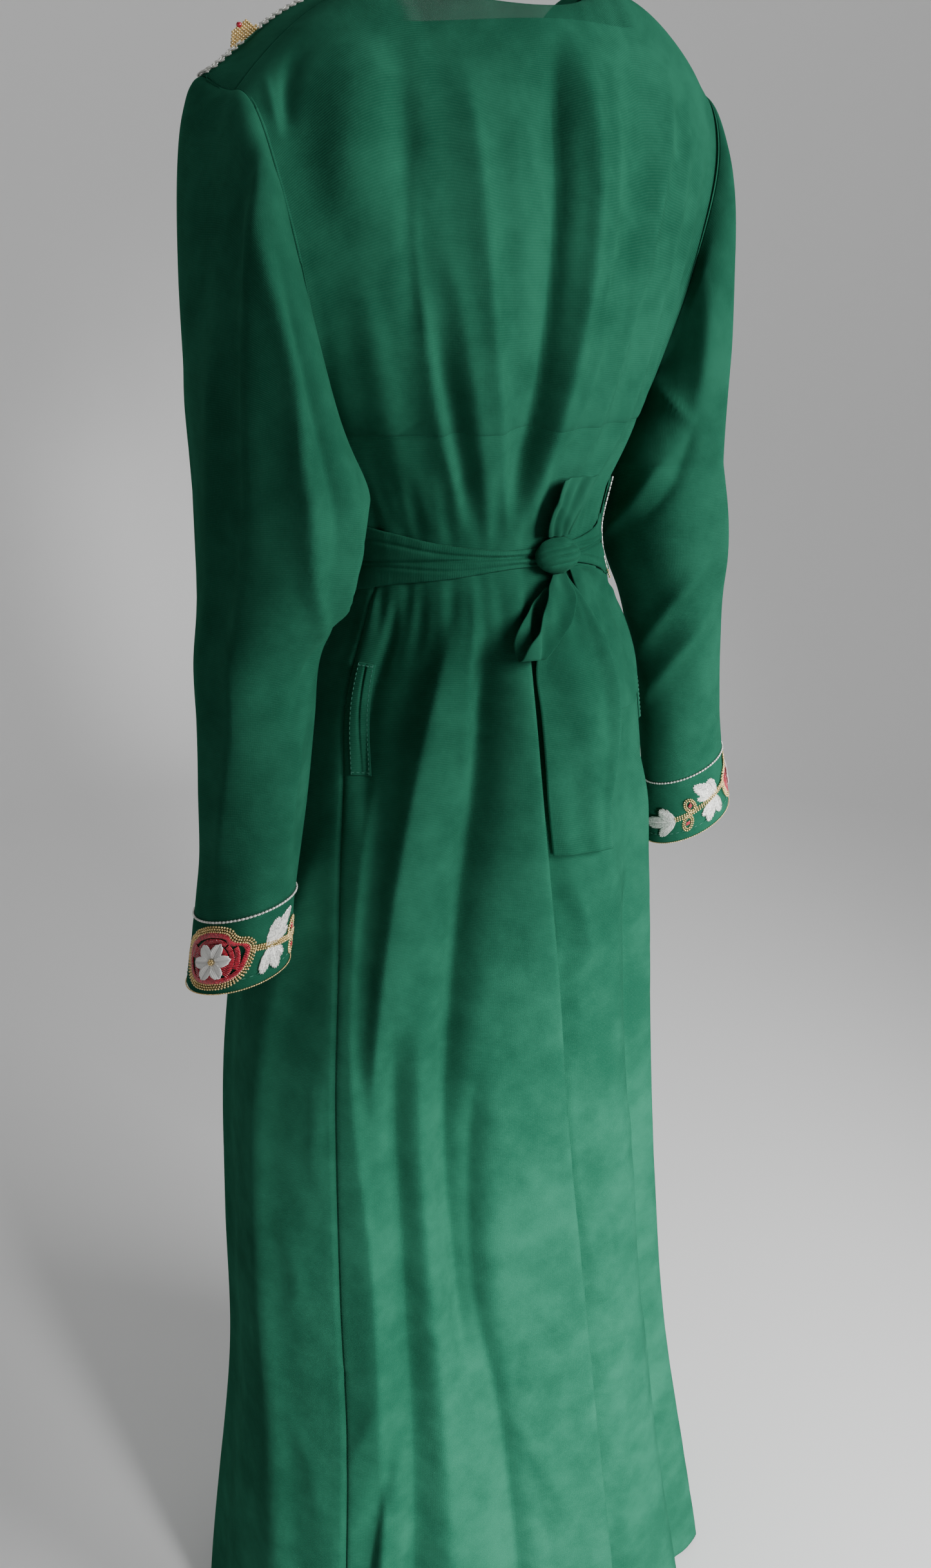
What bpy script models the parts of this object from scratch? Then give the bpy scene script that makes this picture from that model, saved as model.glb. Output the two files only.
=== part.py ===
"""Moroccan kaftan in its worn, hollow form, waist ties knotted at the back.

Metres, +Z up. The front faces -Y and the wearer's left is +X. The origin is the middle
between the two shoulder-neck points, where the wearer's shoulders hold the garment up.
"""
import math

import bpy
import numpy as np

# Driving sizes
WALL = 0.0015
SEAM_GAP = 0.0003
LAID_GAP = 0.0012
SHOULDER_Z = -0.068
FRONT_RISE = 0.044
FRONT_SPREAD = 0.020
UNDERARM_Z = -0.300
HEM_Z = -1.435
NECK_HALF = 0.085
NECK_BACK_DEPTH = 0.060
NECK_FRONT_DEPTH = 0.070
NECK_BACK_DROP = 0.022
NECK_FRONT_DROP = 0.085
ARMHOLE_BACK = 0.055
ARMHOLE_FRONT = 0.062
SHOULDER_TILT = 0.090
TILT_END_Z = -0.380
CUFF_TILT_FROM_Z = -0.500

# Grid counts
ARMHOLE_ROWS = 8
BACK_COLUMNS = 32
FRONT_COLUMNS = 20

# Body sections from the shoulder points to the hem: half widths, depths and where the side
# seams stand, in degrees toward the back from the widest point of the section
SECTION_COLUMNS = ("z", "centre_x", "centre_y", "left", "right", "back", "front", "seam_left", "seam_right")
SECTIONS = (
    (-0.068, 0.000, 0.024, 0.203, 0.197, 0.080, 0.090, 0, 0),
    (-0.115, 0.000, 0.018, 0.197, 0.190, 0.092, 0.105, 0, 0),
    (-0.180, 0.000, 0.010, 0.182, 0.172, 0.102, 0.115, 0, 0),
    (-0.240, 0.000, 0.004, 0.166, 0.158, 0.106, 0.119, 0, 0),
    (-0.300, 0.000, 0.000, 0.152, 0.143, 0.103, 0.120, 0, 0),
    (-0.350, 0.002, -0.002, 0.130, 0.122, 0.094, 0.112, 12, 8),
    (-0.390, 0.003, -0.003, 0.116, 0.115, 0.090, 0.104, 25, 15),
    (-0.430, 0.003, 0.000, 0.122, 0.124, 0.094, 0.104, 20, 18),
    (-0.500, 0.006, 0.000, 0.152, 0.156, 0.112, 0.115, 22, 20),
    (-0.560, 0.010, -0.002, 0.168, 0.168, 0.125, 0.122, 28, 22),
    (-0.680, 0.015, -0.006, 0.190, 0.177, 0.140, 0.135, 34, 25),
    (-0.820, 0.020, -0.010, 0.203, 0.191, 0.152, 0.150, 36, 28),
    (-1.000, 0.018, -0.010, 0.215, 0.206, 0.165, 0.160, 36, 28),
    (-1.150, 0.014, -0.008, 0.223, 0.220, 0.175, 0.170, 36, 28),
    (-1.300, 0.010, -0.006, 0.244, 0.242, 0.190, 0.185, 36, 28),
    (-1.435, 0.008, -0.005, 0.262, 0.264, 0.205, 0.200, 36, 28),
)

# Heights of the panel rows below the underarm
ROW_LEVELS = (-0.300, -0.328, -0.352, -0.372, -0.388, -0.404, -0.422, -0.445, -0.470, -0.510,
              -0.552, -0.605, -0.670, -0.760, -0.860, -0.970, -1.080, -1.190, -1.290, -1.370, -1.435)

# Sleeve sections below the crown: centre and radii
SLEEVE_COLUMNS = ("z", "x", "y", "radius_x", "radius_y")
SLEEVE_LEFT = (
    (-0.340, 0.197, 0.052, 0.053, 0.080),
    (-0.380, 0.203, 0.055, 0.050, 0.076),
    (-0.420, 0.212, 0.055, 0.046, 0.062),
    (-0.450, 0.219, 0.052, 0.044, 0.048),
    (-0.500, 0.223, 0.050, 0.042, 0.044),
    (-0.560, 0.229, 0.050, 0.040, 0.041),
    (-0.636, 0.240, 0.050, 0.038, 0.039),
    (-0.690, 0.249, 0.050, 0.039, 0.041),
)
SLEEVE_RIGHT = (
    (-0.340, -0.177, 0.030, 0.047, 0.048),
    (-0.380, -0.178, 0.030, 0.051, 0.054),
    (-0.420, -0.186, 0.026, 0.051, 0.052),
    (-0.450, -0.196, 0.022, 0.046, 0.047),
    (-0.500, -0.207, 0.020, 0.041, 0.043),
    (-0.560, -0.217, 0.020, 0.037, 0.040),
    (-0.636, -0.227, 0.020, 0.036, 0.038),
    (-0.690, -0.235, 0.020, 0.042, 0.042),
)

# Cuffs: height of the upper and lower edge, and how the band slopes along X and along Y
CUFF_LEFT = (-0.636, -0.692, -0.19, 0.13)
CUFF_RIGHT = (-0.616, -0.675, -0.48, 0.10)
CUFF_COLUMNS = 32
CUFF_ROWS = 5
CROWN_END_Z = -0.340
CROWN_RINGS = 6
CROWN_BACK_PUFF, CROWN_FRONT_PUFF = 2.0, 0.4
CROWN_FALL = 0.35
CROWN_PUFF = {"left": 0.32, "right": 0.20}
SLEEVE_LEVELS = (-0.340, -0.370, -0.395, -0.420, -0.445, -0.480, -0.530, -0.578)


# Folds of the body: the path as (height, angle) pairs from the top down, the soft width of each
# side, and how far the cloth stands out (or in, when negative)
FOLD_COLUMNS = ("name", "path", "left", "right", "height")
BACK_FOLDS = (
    ("shoulder_a", ((-0.05, 22), (-0.08, 18), (-0.10, 16)), 0.012, 0.004, 0.003),
    ("shoulder_b", ((-0.04, 35), (-0.06, 28), (-0.10, 20)), 0.005, 0.010, -0.004),
    ("wedge_c", ((-0.03, 51), (-0.07, 46), (-0.12, 38), (-0.16, 36)), 0.020, 0.022, 0.006),
    ("valley_d", ((-0.04, 57), (-0.10, 54), (-0.16, 52), (-0.24, 50)), 0.009, 0.008, -0.006),
    ("ridge_e", ((-0.11, 55), (-0.18, 52), (-0.26, 54), (-0.38, 62)), 0.009, 0.007, 0.006),
    ("valley_e", ((-0.22, 54), (-0.29, 60), (-0.38, 66)), 0.007, 0.008, -0.006),
    ("tube_f", ((-0.16, 59), (-0.25, 64), (-0.38, 70)), 0.009, 0.010, 0.005),
    ("ridge_g", ((-0.06, 70), (-0.18, 70), (-0.31, 74), (-0.38, 78)), 0.012, 0.007, 0.007),
    ("valley_g", ((-0.08, 75), (-0.20, 76), (-0.31, 78)), 0.010, 0.010, -0.003),
    ("valley_h", ((-0.04, 91), (-0.16, 90), (-0.26, 87), (-0.37, 80)), 0.018, 0.007, -0.013),
    ("tube_i", ((-0.04, 96), (-0.14, 99), (-0.23, 96), (-0.38, 83)), 0.007, 0.014, 0.010),
    ("ridge_j", ((-0.06, 107), (-0.14, 106), (-0.24, 102)), 0.008, 0.010, 0.004),
    ("sweep_1", ((-0.05, 131), (-0.12, 127), (-0.24, 116), (-0.35, 100)), 0.018, 0.010, 0.007),
    ("sweep_2", ((-0.08, 141), (-0.18, 138), (-0.28, 128), (-0.37, 112)), 0.012, 0.010, 0.005),
    ("sweep_3", ((-0.12, 152), (-0.20, 150), (-0.30, 142), (-0.37, 128)), 0.010, 0.010, 0.004),
    ("crumple", ((-0.23, 106), (-0.28, 99), (-0.31, 94)), 0.007, 0.007, 0.004),
    ("left_drape", ((-0.18, 34), (-0.26, 38), (-0.36, 44)), 0.016, 0.012, 0.004),
)
SKIRT_FOLDS = (
    ("front_left", ((-0.60, 24), (-0.76, 13), (-0.99, 11), (-1.43, 20)), 0.030, 0.016, 0.009),
    ("hip_valley", ((-0.42, 33), (-0.47, 31), (-0.60, 38)), 0.006, 0.012, -0.006),
    ("seam_tube", ((-0.56, 38), (-0.78, 40), (-0.95, 45), (-1.20, 45), (-1.43, 46)), 0.026, 0.007, 0.008),
    ("seam_valley", ((-0.74, 50), (-0.95, 52), (-1.43, 52)), 0.010, 0.022, -0.015),
    ("hem_wedge", ((-1.14, 47), (-1.27, 42), (-1.43, 40)), 0.016, 0.008, -0.012),
    ("pleat_1", ((-0.44, 57), (-0.50, 53), (-0.59, 49.5), (-0.70, 47), (-0.82, 46)), 0.009, 0.024, 0.014),
    ("pleat_2", ((-0.41, 63), (-0.52, 64), (-0.58, 66)), 0.007, 0.006, 0.006),
    ("pleat_valley", ((-0.44, 67), (-0.55, 68), (-0.65, 66), (-0.85, 64), (-1.08, 67)), 0.012, 0.012, -0.016),
    ("middle_ridge", ((-0.74, 56), (-0.90, 58), (-1.10, 60), (-1.43, 62)), 0.014, 0.010, 0.006),
    ("middle_valley", ((-0.80, 71), (-1.00, 70), (-1.12, 74), (-1.43, 78)), 0.018, 0.010, -0.013),
    ("tail_ridge", ((-0.42, 79), (-0.59, 84), (-0.79, 91), (-1.02, 95), (-1.43, 97)), 0.034, 0.008, 0.018),
    ("tail_valley", ((-0.44, 86), (-0.62, 91.5), (-0.79, 96.5), (-1.02, 100), (-1.43, 102)), 0.007, 0.016, -0.016),
    ("right_tube", ((-0.62, 112), (-0.90, 116), (-1.43, 119)), 0.026, 0.020, 0.009),
    ("right_valley", ((-0.66, 124), (-1.00, 126), (-1.43, 127)), 0.012, 0.010, -0.008),
    ("right_edge", ((-0.56, 134), (-0.90, 134), (-1.20, 133), (-1.43, 136)), 0.022, 0.010, 0.010),
)
FRONT_FOLDS = (
    ("front_1", ((-0.46, 190), (-0.90, 188), (-1.43, 186)), 0.016, 0.024, 0.010),
    ("front_2", ((-0.44, 215), (-0.80, 212), (-1.43, 210)), 0.020, 0.012, 0.012),
    ("front_3", ((-0.50, 236), (-0.95, 236), (-1.43, 233)), 0.014, 0.022, 0.010),
    ("front_4", ((-0.44, 258), (-0.85, 256), (-1.43, 258)), 0.022, 0.012, 0.013),
    ("front_5", ((-0.48, 280), (-0.90, 284), (-1.43, 284)), 0.012, 0.020, 0.010),
    ("front_6", ((-0.44, 303), (-0.80, 306), (-1.43, 309)), 0.020, 0.014, 0.012),
    ("front_7", ((-0.55, 327), (-1.00, 333), (-1.43, 335)), 0.014, 0.022, 0.010),
    ("chest_1", ((-0.13, 236), (-0.24, 240), (-0.37, 252)), 0.014, 0.010, 0.006),
    ("chest_2", ((-0.15, 296), (-0.25, 294), (-0.37, 286)), 0.012, 0.014, 0.006),
    ("chest_3", ((-0.20, 214), (-0.28, 222), (-0.36, 236)), 0.010, 0.014, 0.004),
    ("chest_4", ((-0.20, 324), (-0.28, 317), (-0.36, 304)), 0.012, 0.010, 0.004),
)
WAIST_Z = -0.395
WAIST_HOLD = 0.75
WAIST_REACH = 0.022

# Waist ties on the back: height of the upper and lower edge against the angle
TIE_COLUMNS = ("z", "top", "bottom")
TIE_LEFT = (
    (12, -0.366, -0.420),
    (29, -0.373, -0.414),
    (54, -0.383, -0.409),
    (77, -0.389, -0.404),
    (97, -0.389, -0.403),
)
TIE_RIGHT = (
    (99, -0.388, -0.402),
    (115, -0.386, -0.406),
    (135, -0.380, -0.416),
    (146, -0.374, -0.424),
)
TIE_THICK = 0.0030
TIE_EDGE, TIE_BULGE = 0.55, 0.45
TIE_SPANS = {"left": (12, 98.0, 20), "right": (98.6, 146.6, 11)}
TIE_ROWS = 4
WAIST_PANEL_FIRST, WAIST_PANEL_LAST = 147, 368
WAIST_PANEL_TOP, WAIST_PANEL_BOTTOM = -0.345, -0.428
WAIST_PANEL_THICK = 0.0020
WAIST_PANEL_COLUMNS, WAIST_PANEL_ROWS = 30, 4

# Knot and what hangs from it, laid over the back: height, the two edge angles and the stand-off
KNOT_ANGLE, KNOT_Z = 98.5, -0.3955
KNOT_HALF_ANGLE, KNOT_HALF_HEIGHT = 10.5, 0.0155
KNOT_STAND, KNOT_DEPTH = 0.0052, 0.0150
KNOT_EDGE, KNOT_CREASE = 0.0010, 0.14
KNOT_COUNT = 8
STRIP_COLUMNS = ("z", "left", "right", "stand")
STUB = (
    (-0.3795, 93, 104, 0.0085),
    (-0.3680, 92, 105, 0.0095),
    (-0.3520, 93, 108, 0.0090),
    (-0.3340, 94, 112, 0.0080),
)
BOW_LOOP = (
    (-0.4108, 94.5, 101, 0.0090),
    (-0.4180, 91, 100, 0.0130),
    (-0.4290, 87.5, 99, 0.0195),
    (-0.4460, 83, 96, 0.0225),
    (-0.4610, 77.5, 92, 0.0200),
    (-0.4720, 75.5, 89, 0.0155),
    (-0.4700, 75, 89, 0.0110),
    (-0.4560, 75, 90, 0.0085),
    (-0.4380, 80, 94, 0.0085),
    (-0.4190, 91, 98, 0.0083),
)
LONG_TAIL = (
    (-0.4114, 96.5, 103, 0.0050),
    (-0.4350, 95, 109, 0.0052),
    (-0.4550, 91, 112, 0.0054),
    (-0.4750, 88, 114, 0.0056),
    (-0.5100, 89, 115, 0.0058),
    (-0.5500, 90, 113, 0.0060),
    (-0.5850, 91, 109, 0.0060),
    (-0.6300, 93, 108, 0.0060),
)
WIDE_TAIL = (
    (-0.4074, 106, 114, 0.0030),
    (-0.4160, 107, 125, 0.0029),
    (-0.4350, 109, 136, 0.0029),
    (-0.4600, 110, 143, 0.0029),
    (-0.4850, 112, 141, 0.0030),
    (-0.5080, 113, 136, 0.0030),
    (-0.5250, 115, 129, 0.0030),
)
STRIP_THICK, STRIP_SWELL = 0.0014, 0.0010
STRIP_ACROSS = 4
WELT_LEVELS = (-0.470, -0.490, -0.510, -0.531, -0.552)
WELT_BESIDE = (2.5, 4.8, 7.2, 9.5)
WELT_THICK = 0.0012
WELT_STAND_LEFT, WELT_STAND_RIGHT = 0.0012, 0.0006

# Raised flower of each cuff: centre as (turn, share of the cuff's height) and radius
FLOWER_RADIUS, FLOWER_RAISE = 0.022, 0.0014
CUFF_FLOWERS = {"left": (32, 0.54), "right": (18, 0.54)}


def smooth(values, table, column, names):
    """Smooth curve through one column of a table, over its z column."""
    rows = sorted(table, key=lambda row: row[0])
    heights = np.array([row[0] for row in rows])
    marks = np.array([row[names.index(column)] for row in rows], float)
    slopes = np.gradient(marks, heights)
    at = np.clip(values, heights[0], heights[-1])
    cell = np.clip(np.searchsorted(heights, at) - 1, 0, len(heights) - 2)
    step = heights[cell + 1] - heights[cell]
    t = (at - heights[cell]) / step
    return ((2 * t ** 3 - 3 * t ** 2 + 1) * marks[cell] + (t ** 3 - 2 * t ** 2 + t) * step * slopes[cell]
            + (3 * t ** 2 - 2 * t ** 3) * marks[cell + 1] + (t ** 3 - t ** 2) * step * slopes[cell + 1])


def body(column, z):
    return smooth(z, SECTIONS, column, SECTION_COLUMNS)


def fade(value, start, end):
    """0 at start, 1 at end, with a soft S between."""
    t = np.clip((value - start) / (end - start), 0, 1)
    return t * t * (3 - 2 * t)


def posture(points):
    """The shoulders lean: the wearer's right shoulder stands a little higher."""
    points = np.array(points, float)
    share = np.clip((points[..., 2] - TILT_END_Z) / -TILT_END_Z, 0, 1)
    points[..., 2] -= SHOULDER_TILT * points[..., 0] * share
    return points


def level_of(row):
    """Height at the side edge for a row value: 0 the shoulder, 1 the underarm, 2 the hem."""
    armhole = np.clip(row, 0, 1)
    share = (1 - np.cos(math.pi * armhole)) / 2
    upper = SHOULDER_Z + (UNDERARM_Z - SHOULDER_Z) * share
    lower = UNDERARM_Z + (HEM_Z - UNDERARM_Z) * (np.clip(row, 1, 2.2) - 1)
    return np.where(row < 1, upper, lower), share


def row_of(z):
    return 1 + (np.asarray(z, float) - UNDERARM_Z) / (HEM_Z - UNDERARM_Z)


def body_point(angle, row):
    """Point of the unfolded cloth. angle 0 is the wearer's left, 90 the back, 180 the right, 270 the front."""
    angle, row = np.broadcast_arrays(np.asarray(angle, float), np.asarray(row, float))
    z, share = level_of(row)
    turn = np.radians(angle)
    across = np.cos(turn)
    out = np.abs(np.sin(turn))
    back = np.sin(turn) >= 0
    half = np.where(across > 0, body("left", z), body("right", z))
    depth = np.where(back, body("back", z), body("front", z))
    oval = 2 * np.sqrt(np.clip(share * (1 - share), 0, 1))
    edge = np.where(back, ARMHOLE_BACK, ARMHOLE_FRONT) * oval
    half = half + np.where(back, 0, FRONT_SPREAD * oval * (1 - share) ** 2 * np.clip(across, 0, 1))
    x = body("centre_x", z) + half * across
    rise = np.clip(share / 0.55, 0, 1)
    rounding = np.sqrt(1 - (1 - rise) ** 2)
    inside = np.clip(1 - (x / NECK_HALF) ** 2, 0, 1)
    neck_y = np.where(back, NECK_BACK_DEPTH, NECK_FRONT_DEPTH) * inside
    distance = neck_y * (1 - rounding) + depth * rounding * out + edge * (1 - out) ** 2
    drop = np.where(back, NECK_BACK_DROP, NECK_FRONT_DROP) * inside
    outer = np.clip((np.abs(x) - NECK_HALF) / (half - NECK_HALF + 1e-6), 0, 1)
    top = -drop + SHOULDER_Z * outer ** 2
    lift = (top - SHOULDER_Z) * (1 - share) ** 1.3
    ridge = np.clip(share / 0.34, 0, 1)
    lift += np.where(back, 0, (3 + across) * FRONT_RISE * ridge * (1 - ridge) * (1 - inside))
    y = body("centre_y", z) + np.where(back, 1, -1) * distance
    return np.stack([x, y, z + lift], -1)


def unit(vectors):
    return vectors / np.maximum(np.linalg.norm(vectors, axis=-1, keepdims=True), 1e-12)


def body_normal(angle, row):
    """Outward direction of the unfolded cloth."""
    angle, row = np.broadcast_arrays(np.asarray(angle, float), np.asarray(row, float))
    nudge, step = 0.5, 0.004
    low = np.clip(row - step, 0.0, 2.2)
    high = np.clip(row + step, 0.0, 2.2)
    along = body_point(angle + nudge, row) - body_point(angle - nudge, row)
    down = body_point(angle, high) - body_point(angle, low)
    return unit(np.cross(down, along))


def build_solid(name, outer, inner, colour, wrap=False):
    """One closed wall between two grids of points; wrap joins the last column to the first."""
    rows, columns = outer.shape[:2]
    layer = rows * columns
    points = np.concatenate([outer.reshape(-1, 3), inner.reshape(-1, 3)])
    spans = columns if wrap else columns - 1
    faces = []
    for r in range(rows - 1):
        for c in range(spans):
            d = (c + 1) % columns
            corners = (r * columns + c, r * columns + d, (r + 1) * columns + d, (r + 1) * columns + c)
            # Both sides of the wall split along the same, shorter diagonal, so that they never cross
            p = points[list(corners)]
            if np.linalg.norm(p[0] - p[2]) > np.linalg.norm(p[1] - p[3]):
                corners = corners[1:] + corners[:1]
            faces.append(corners)
            faces.append(tuple(layer + corners[k] for k in (0, 3, 2, 1)))
    for c in range(spans):
        d = (c + 1) % columns
        last = (rows - 1) * columns
        faces.append((d, c, layer + c, layer + d))
        faces.append((last + c, last + d, layer + last + d, layer + last + c))
    if not wrap:
        for r in range(rows - 1):
            a, b = r * columns, (r + 1) * columns
            c, d = a + columns - 1, b + columns - 1
            faces.append((a, b, layer + b, layer + a))
            faces.append((d, c, layer + c, layer + d))
    volume = 0.0
    for a, b, c, d in faces:
        volume += np.dot(points[a], np.cross(points[b], points[c])) + np.dot(points[a], np.cross(points[c], points[d]))
    if volume < 0:
        faces = [face[::-1] for face in faces]
    mesh = bpy.data.meshes.new(name)
    mesh.from_pydata([tuple(p) for p in points], [], faces)
    mesh.update()
    mesh.shade_smooth()
    item = bpy.data.objects.new(name, mesh)
    bpy.context.scene.collection.objects.link(item)
    material = bpy.data.materials.get(name_of(colour)) or new_material(colour)
    mesh.materials.append(material)
    return item


COLOURS = {
    "emerald": (0.004, 0.045, 0.034, 1.0),
}


def name_of(colour):
    return "cloth_" + colour


def new_material(colour):
    material = bpy.data.materials.new(name_of(colour))
    material.use_nodes = True
    shader = material.node_tree.nodes["Principled BSDF"]
    shader.inputs["Base Color"].default_value = COLOURS[colour]
    shader.inputs["Roughness"].default_value = 0.6
    shader.inputs["Metallic"].default_value = 0.0
    return material


def armhole_frame(points, side):
    """Shared wall direction and way into the sleeve at the points of one armhole edge."""
    middle = np.array([side * 0.185, 0.0, (SHOULDER_Z + UNDERARM_Z) / 2])
    away = points - middle
    away[..., 0] = 0
    return unit(away)


def path_angle(z, path):
    """Angle of a fold's path at a height, softly curved through its points."""
    return smooth(z, path, "angle", ("z", "angle"))


def fold_height(angle, z, share):
    """How far the folds move the cloth out at an angle and height."""
    angle, z, share = np.broadcast_arrays(angle, z, share)
    total = np.zeros(angle.shape)
    radius = (body("left", z) + body("back", z)) / 2
    for row in BACK_FOLDS + SKIRT_FOLDS + FRONT_FOLDS:
        fold = dict(zip(FOLD_COLUMNS, row))
        top, bottom = fold["path"][0][0], fold["path"][-1][0]
        aside = (angle - path_angle(z, fold["path"]) + 180) % 360 - 180
        away = np.radians(aside) * radius
        width = np.where(away < 0, fold["left"], fold["right"])
        run = min(0.06, (top - bottom) / 3)
        ends = fade(z, top + 0.3 * run, top - run)
        if bottom > HEM_Z + 0.02:
            ends = ends * fade(z, bottom - 0.3 * run, bottom + run)
        total += fold["height"] * ends * np.exp(-(away / width) ** 2)
    waist = 1 - WAIST_HOLD * np.exp(-((z - WAIST_Z) / WAIST_REACH) ** 2)
    armhole = np.where(share < 1, fade(np.abs(np.sin(np.radians(angle))), 0.12, 0.42), 1)
    return total * waist * armhole * fade(share, 0.0, 0.10)


def cloth_point(angle, z):
    """Folded outer surface below the underarm, or on the back above it, with its outward direction."""
    z = np.asarray(z, float)
    upper = np.arccos(np.clip(1 - 2 * (z - SHOULDER_Z) / (UNDERARM_Z - SHOULDER_Z), -1, 1)) / math.pi
    row = np.where(z < UNDERARM_Z, row_of(z), upper)
    base = body_point(angle, row)
    normal = body_normal(angle, row)
    height = fold_height(angle, base[..., 2], level_of(row)[1])
    return base + normal * height[..., None], normal


def panel_grid(back, columns):
    """Angles and row values of one panel's grid, from the wearer's left seam to the right seam."""
    upper = np.arange(ARMHOLE_ROWS) / ARMHOLE_ROWS
    rows = np.concatenate([upper, row_of(ROW_LEVELS)])
    share = np.linspace(0, 1, columns + 1)
    z = level_of(rows)[0]
    seam_left = np.where(rows <= 1, 0, body("seam_left", z))
    seam_right = np.where(rows <= 1, 0, body("seam_right", z))
    radius = (body("left", z) + body("back", z)) / 2
    half_gap = np.degrees(SEAM_GAP / 2 / radius) + 0.02
    if back:
        first, last = seam_left + half_gap, 180 - seam_right - half_gap
    else:
        first, last = 360 + seam_left - half_gap, 180 - seam_right + half_gap
    angles = first[:, None] + (last - first)[:, None] * share[None, :]
    return angles, np.repeat(rows[:, None], columns + 1, 1)


def folded_normal(outer, plain):
    """Outward directions of the folded cloth, square to it; the edges keep the unfolded ones."""
    folded = unit(np.cross(np.gradient(outer, axis=0), np.gradient(outer, axis=1)))
    folded *= np.sign(np.sum(folded * plain, axis=-1, keepdims=True))
    folded[:, 0] = plain[:, 0]
    folded[:, -1] = plain[:, -1]
    return folded


def panel_layers(back, columns):
    angles, rows = panel_grid(back, columns)
    base = body_point(angles, rows)
    normal = body_normal(angles, rows)
    z = base[..., 2]
    outer = base + normal * fold_height(angles, z, level_of(rows)[1])[..., None]
    normal = folded_normal(outer, normal)
    # The shoulder seam's edges face each other straight, and stand the seam gap apart
    sign = 1 if back else -1
    slope = np.gradient(base[0, :, 2], base[0, :, 0])
    normal[0] = unit(np.stack([-slope, np.zeros_like(slope), np.ones_like(slope)], -1))
    neck = np.abs(base[0, :, 0]) < NECK_HALF
    outer[0, :, 1] += np.where(neck, 0, sign * SEAM_GAP / 2)
    for column, side in ((0, 1), (-1, -1)):
        edge = outer[:ARMHOLE_ROWS + 1, column].copy()
        normal[:ARMHOLE_ROWS + 1, column] = armhole_frame(edge, side)
    normal[ARMHOLE_ROWS, 0] = unit(np.array([0.5, 0, -1.0]))
    normal[ARMHOLE_ROWS, -1] = unit(np.array([-0.5, 0, -1.0]))
    inner = outer - normal * WALL
    return posture(outer), posture(inner)


def sleeve_values(table, z):
    return [smooth(z, table, column, SLEEVE_COLUMNS) for column in SLEEVE_COLUMNS[1:]]


def cuff_values(side):
    return CUFF_LEFT if side > 0 else CUFF_RIGHT


def sleeve_ring(table, z, side, turn):
    x, y, radius_x, radius_y = sleeve_values(table, z)
    out_x, out_y = side * radius_x * np.cos(turn), radius_y * np.sin(turn)
    top, bottom, slope_x, slope_y = cuff_values(side)
    tilt = fade(z, CUFF_TILT_FROM_Z, top)
    return np.stack([x + out_x, y + out_y, z + tilt * (slope_x * out_x + slope_y * out_y)], -1)


def armhole_loop(side):
    """Points of the armhole, from the shoulder down the back to the underarm and up the front."""
    rows = np.arange(ARMHOLE_ROWS + 1) / ARMHOLE_ROWS
    angle = 0.0 if side > 0 else 180.0
    down = body_point(angle + 0.001 * side, rows)
    up = body_point(angle - 0.001 * side, rows)[::-1][1:-1]
    return np.concatenate([down, up])


def sleeve_layers(table, side, puff):
    loop = armhole_loop(side)
    count = len(loop)
    turn = 2 * np.pi * np.arange(count) / count
    wall = armhole_frame(loop.copy(), side)
    start = loop + np.array([side * (SEAM_GAP + 0.0001), 0, 0])
    end = sleeve_ring(table, np.full(count, CROWN_END_Z), side, turn)
    reach = np.linalg.norm(end - start, axis=-1, keepdims=True)
    leave = np.zeros_like(start)
    leave[:, 0] = side
    leave[:, 1] = np.where(np.sin(turn) > 0, CROWN_BACK_PUFF, CROWN_FRONT_PUFF) * np.sin(turn)
    leave[:, 2] = -CROWN_FALL
    rings = [start]
    for k in range(1, CROWN_RINGS + 1):
        t = k / CROWN_RINGS
        ring = ((2 * t ** 3 - 3 * t ** 2 + 1) * start + (t ** 3 - 2 * t ** 2 + t) * puff * reach * leave
                + (3 * t ** 2 - 2 * t ** 3) * end + (t ** 3 - t ** 2) * reach * np.array([0, 0, -0.8]))
        rings.append(ring)
    for level in SLEEVE_LEVELS[1:] + (cuff_values(side)[0],):
        rings.append(sleeve_ring(table, np.full(count, level), side, turn))
    outer = np.array(rings)
    normal = grid_normal(outer, side)
    normal[0] = wall
    inner = outer - normal * WALL
    return posture(outer), posture(inner)


def grid_normal(grid, side):
    """Outward directions of a tube's grid, worked out from its neighbours."""
    across = np.roll(grid, -1, axis=1) - np.roll(grid, 1, axis=1)
    down = np.empty_like(grid)
    down[1:-1] = grid[2:] - grid[:-2]
    down[0] = grid[1] - grid[0]
    down[-1] = grid[-1] - grid[-2]
    return unit(np.cross(down, across)) * side


def cuff_layers(table, side, flower):
    """A straight band below the sleeve, with the flower raised in its outer points."""
    turn = 2 * np.pi * np.arange(CUFF_COLUMNS) / CUFF_COLUMNS
    share = np.linspace(0, 1, CUFF_ROWS + 1)
    top, bottom, slope_x, slope_y = cuff_values(side)
    levels = top - SEAM_GAP + (bottom - top) * share
    outer = np.array([sleeve_ring(table, np.full(CUFF_COLUMNS, level), side, turn) for level in levels])
    normal = grid_normal(outer, side)
    inner = outer - normal * WALL
    centre_turn, centre_share = np.radians(flower[0]), flower[1]
    radius = sleeve_values(table, bottom)[2]
    across = ((turn - centre_turn + np.pi) % (2 * np.pi) - np.pi) * radius
    up = (share - centre_share) * (top - bottom)
    distance = np.hypot(across[None, :], up[:, None])
    raised = FLOWER_RAISE * (1 - fade(distance, FLOWER_RADIUS * 0.75, FLOWER_RADIUS * 1.15))
    outer = outer + normal * raised[..., None]
    return posture(outer), posture(inner)


def laid_layers(angles, heights, stand, thick):
    """A patch that lies on the body: grids of its outer and inner points."""
    surface, normal = cloth_point(angles, heights)
    inner = surface + normal * np.asarray(stand)[..., None]
    outer = inner + normal * np.asarray(thick)[..., None]
    return posture(outer), posture(inner)


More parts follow.
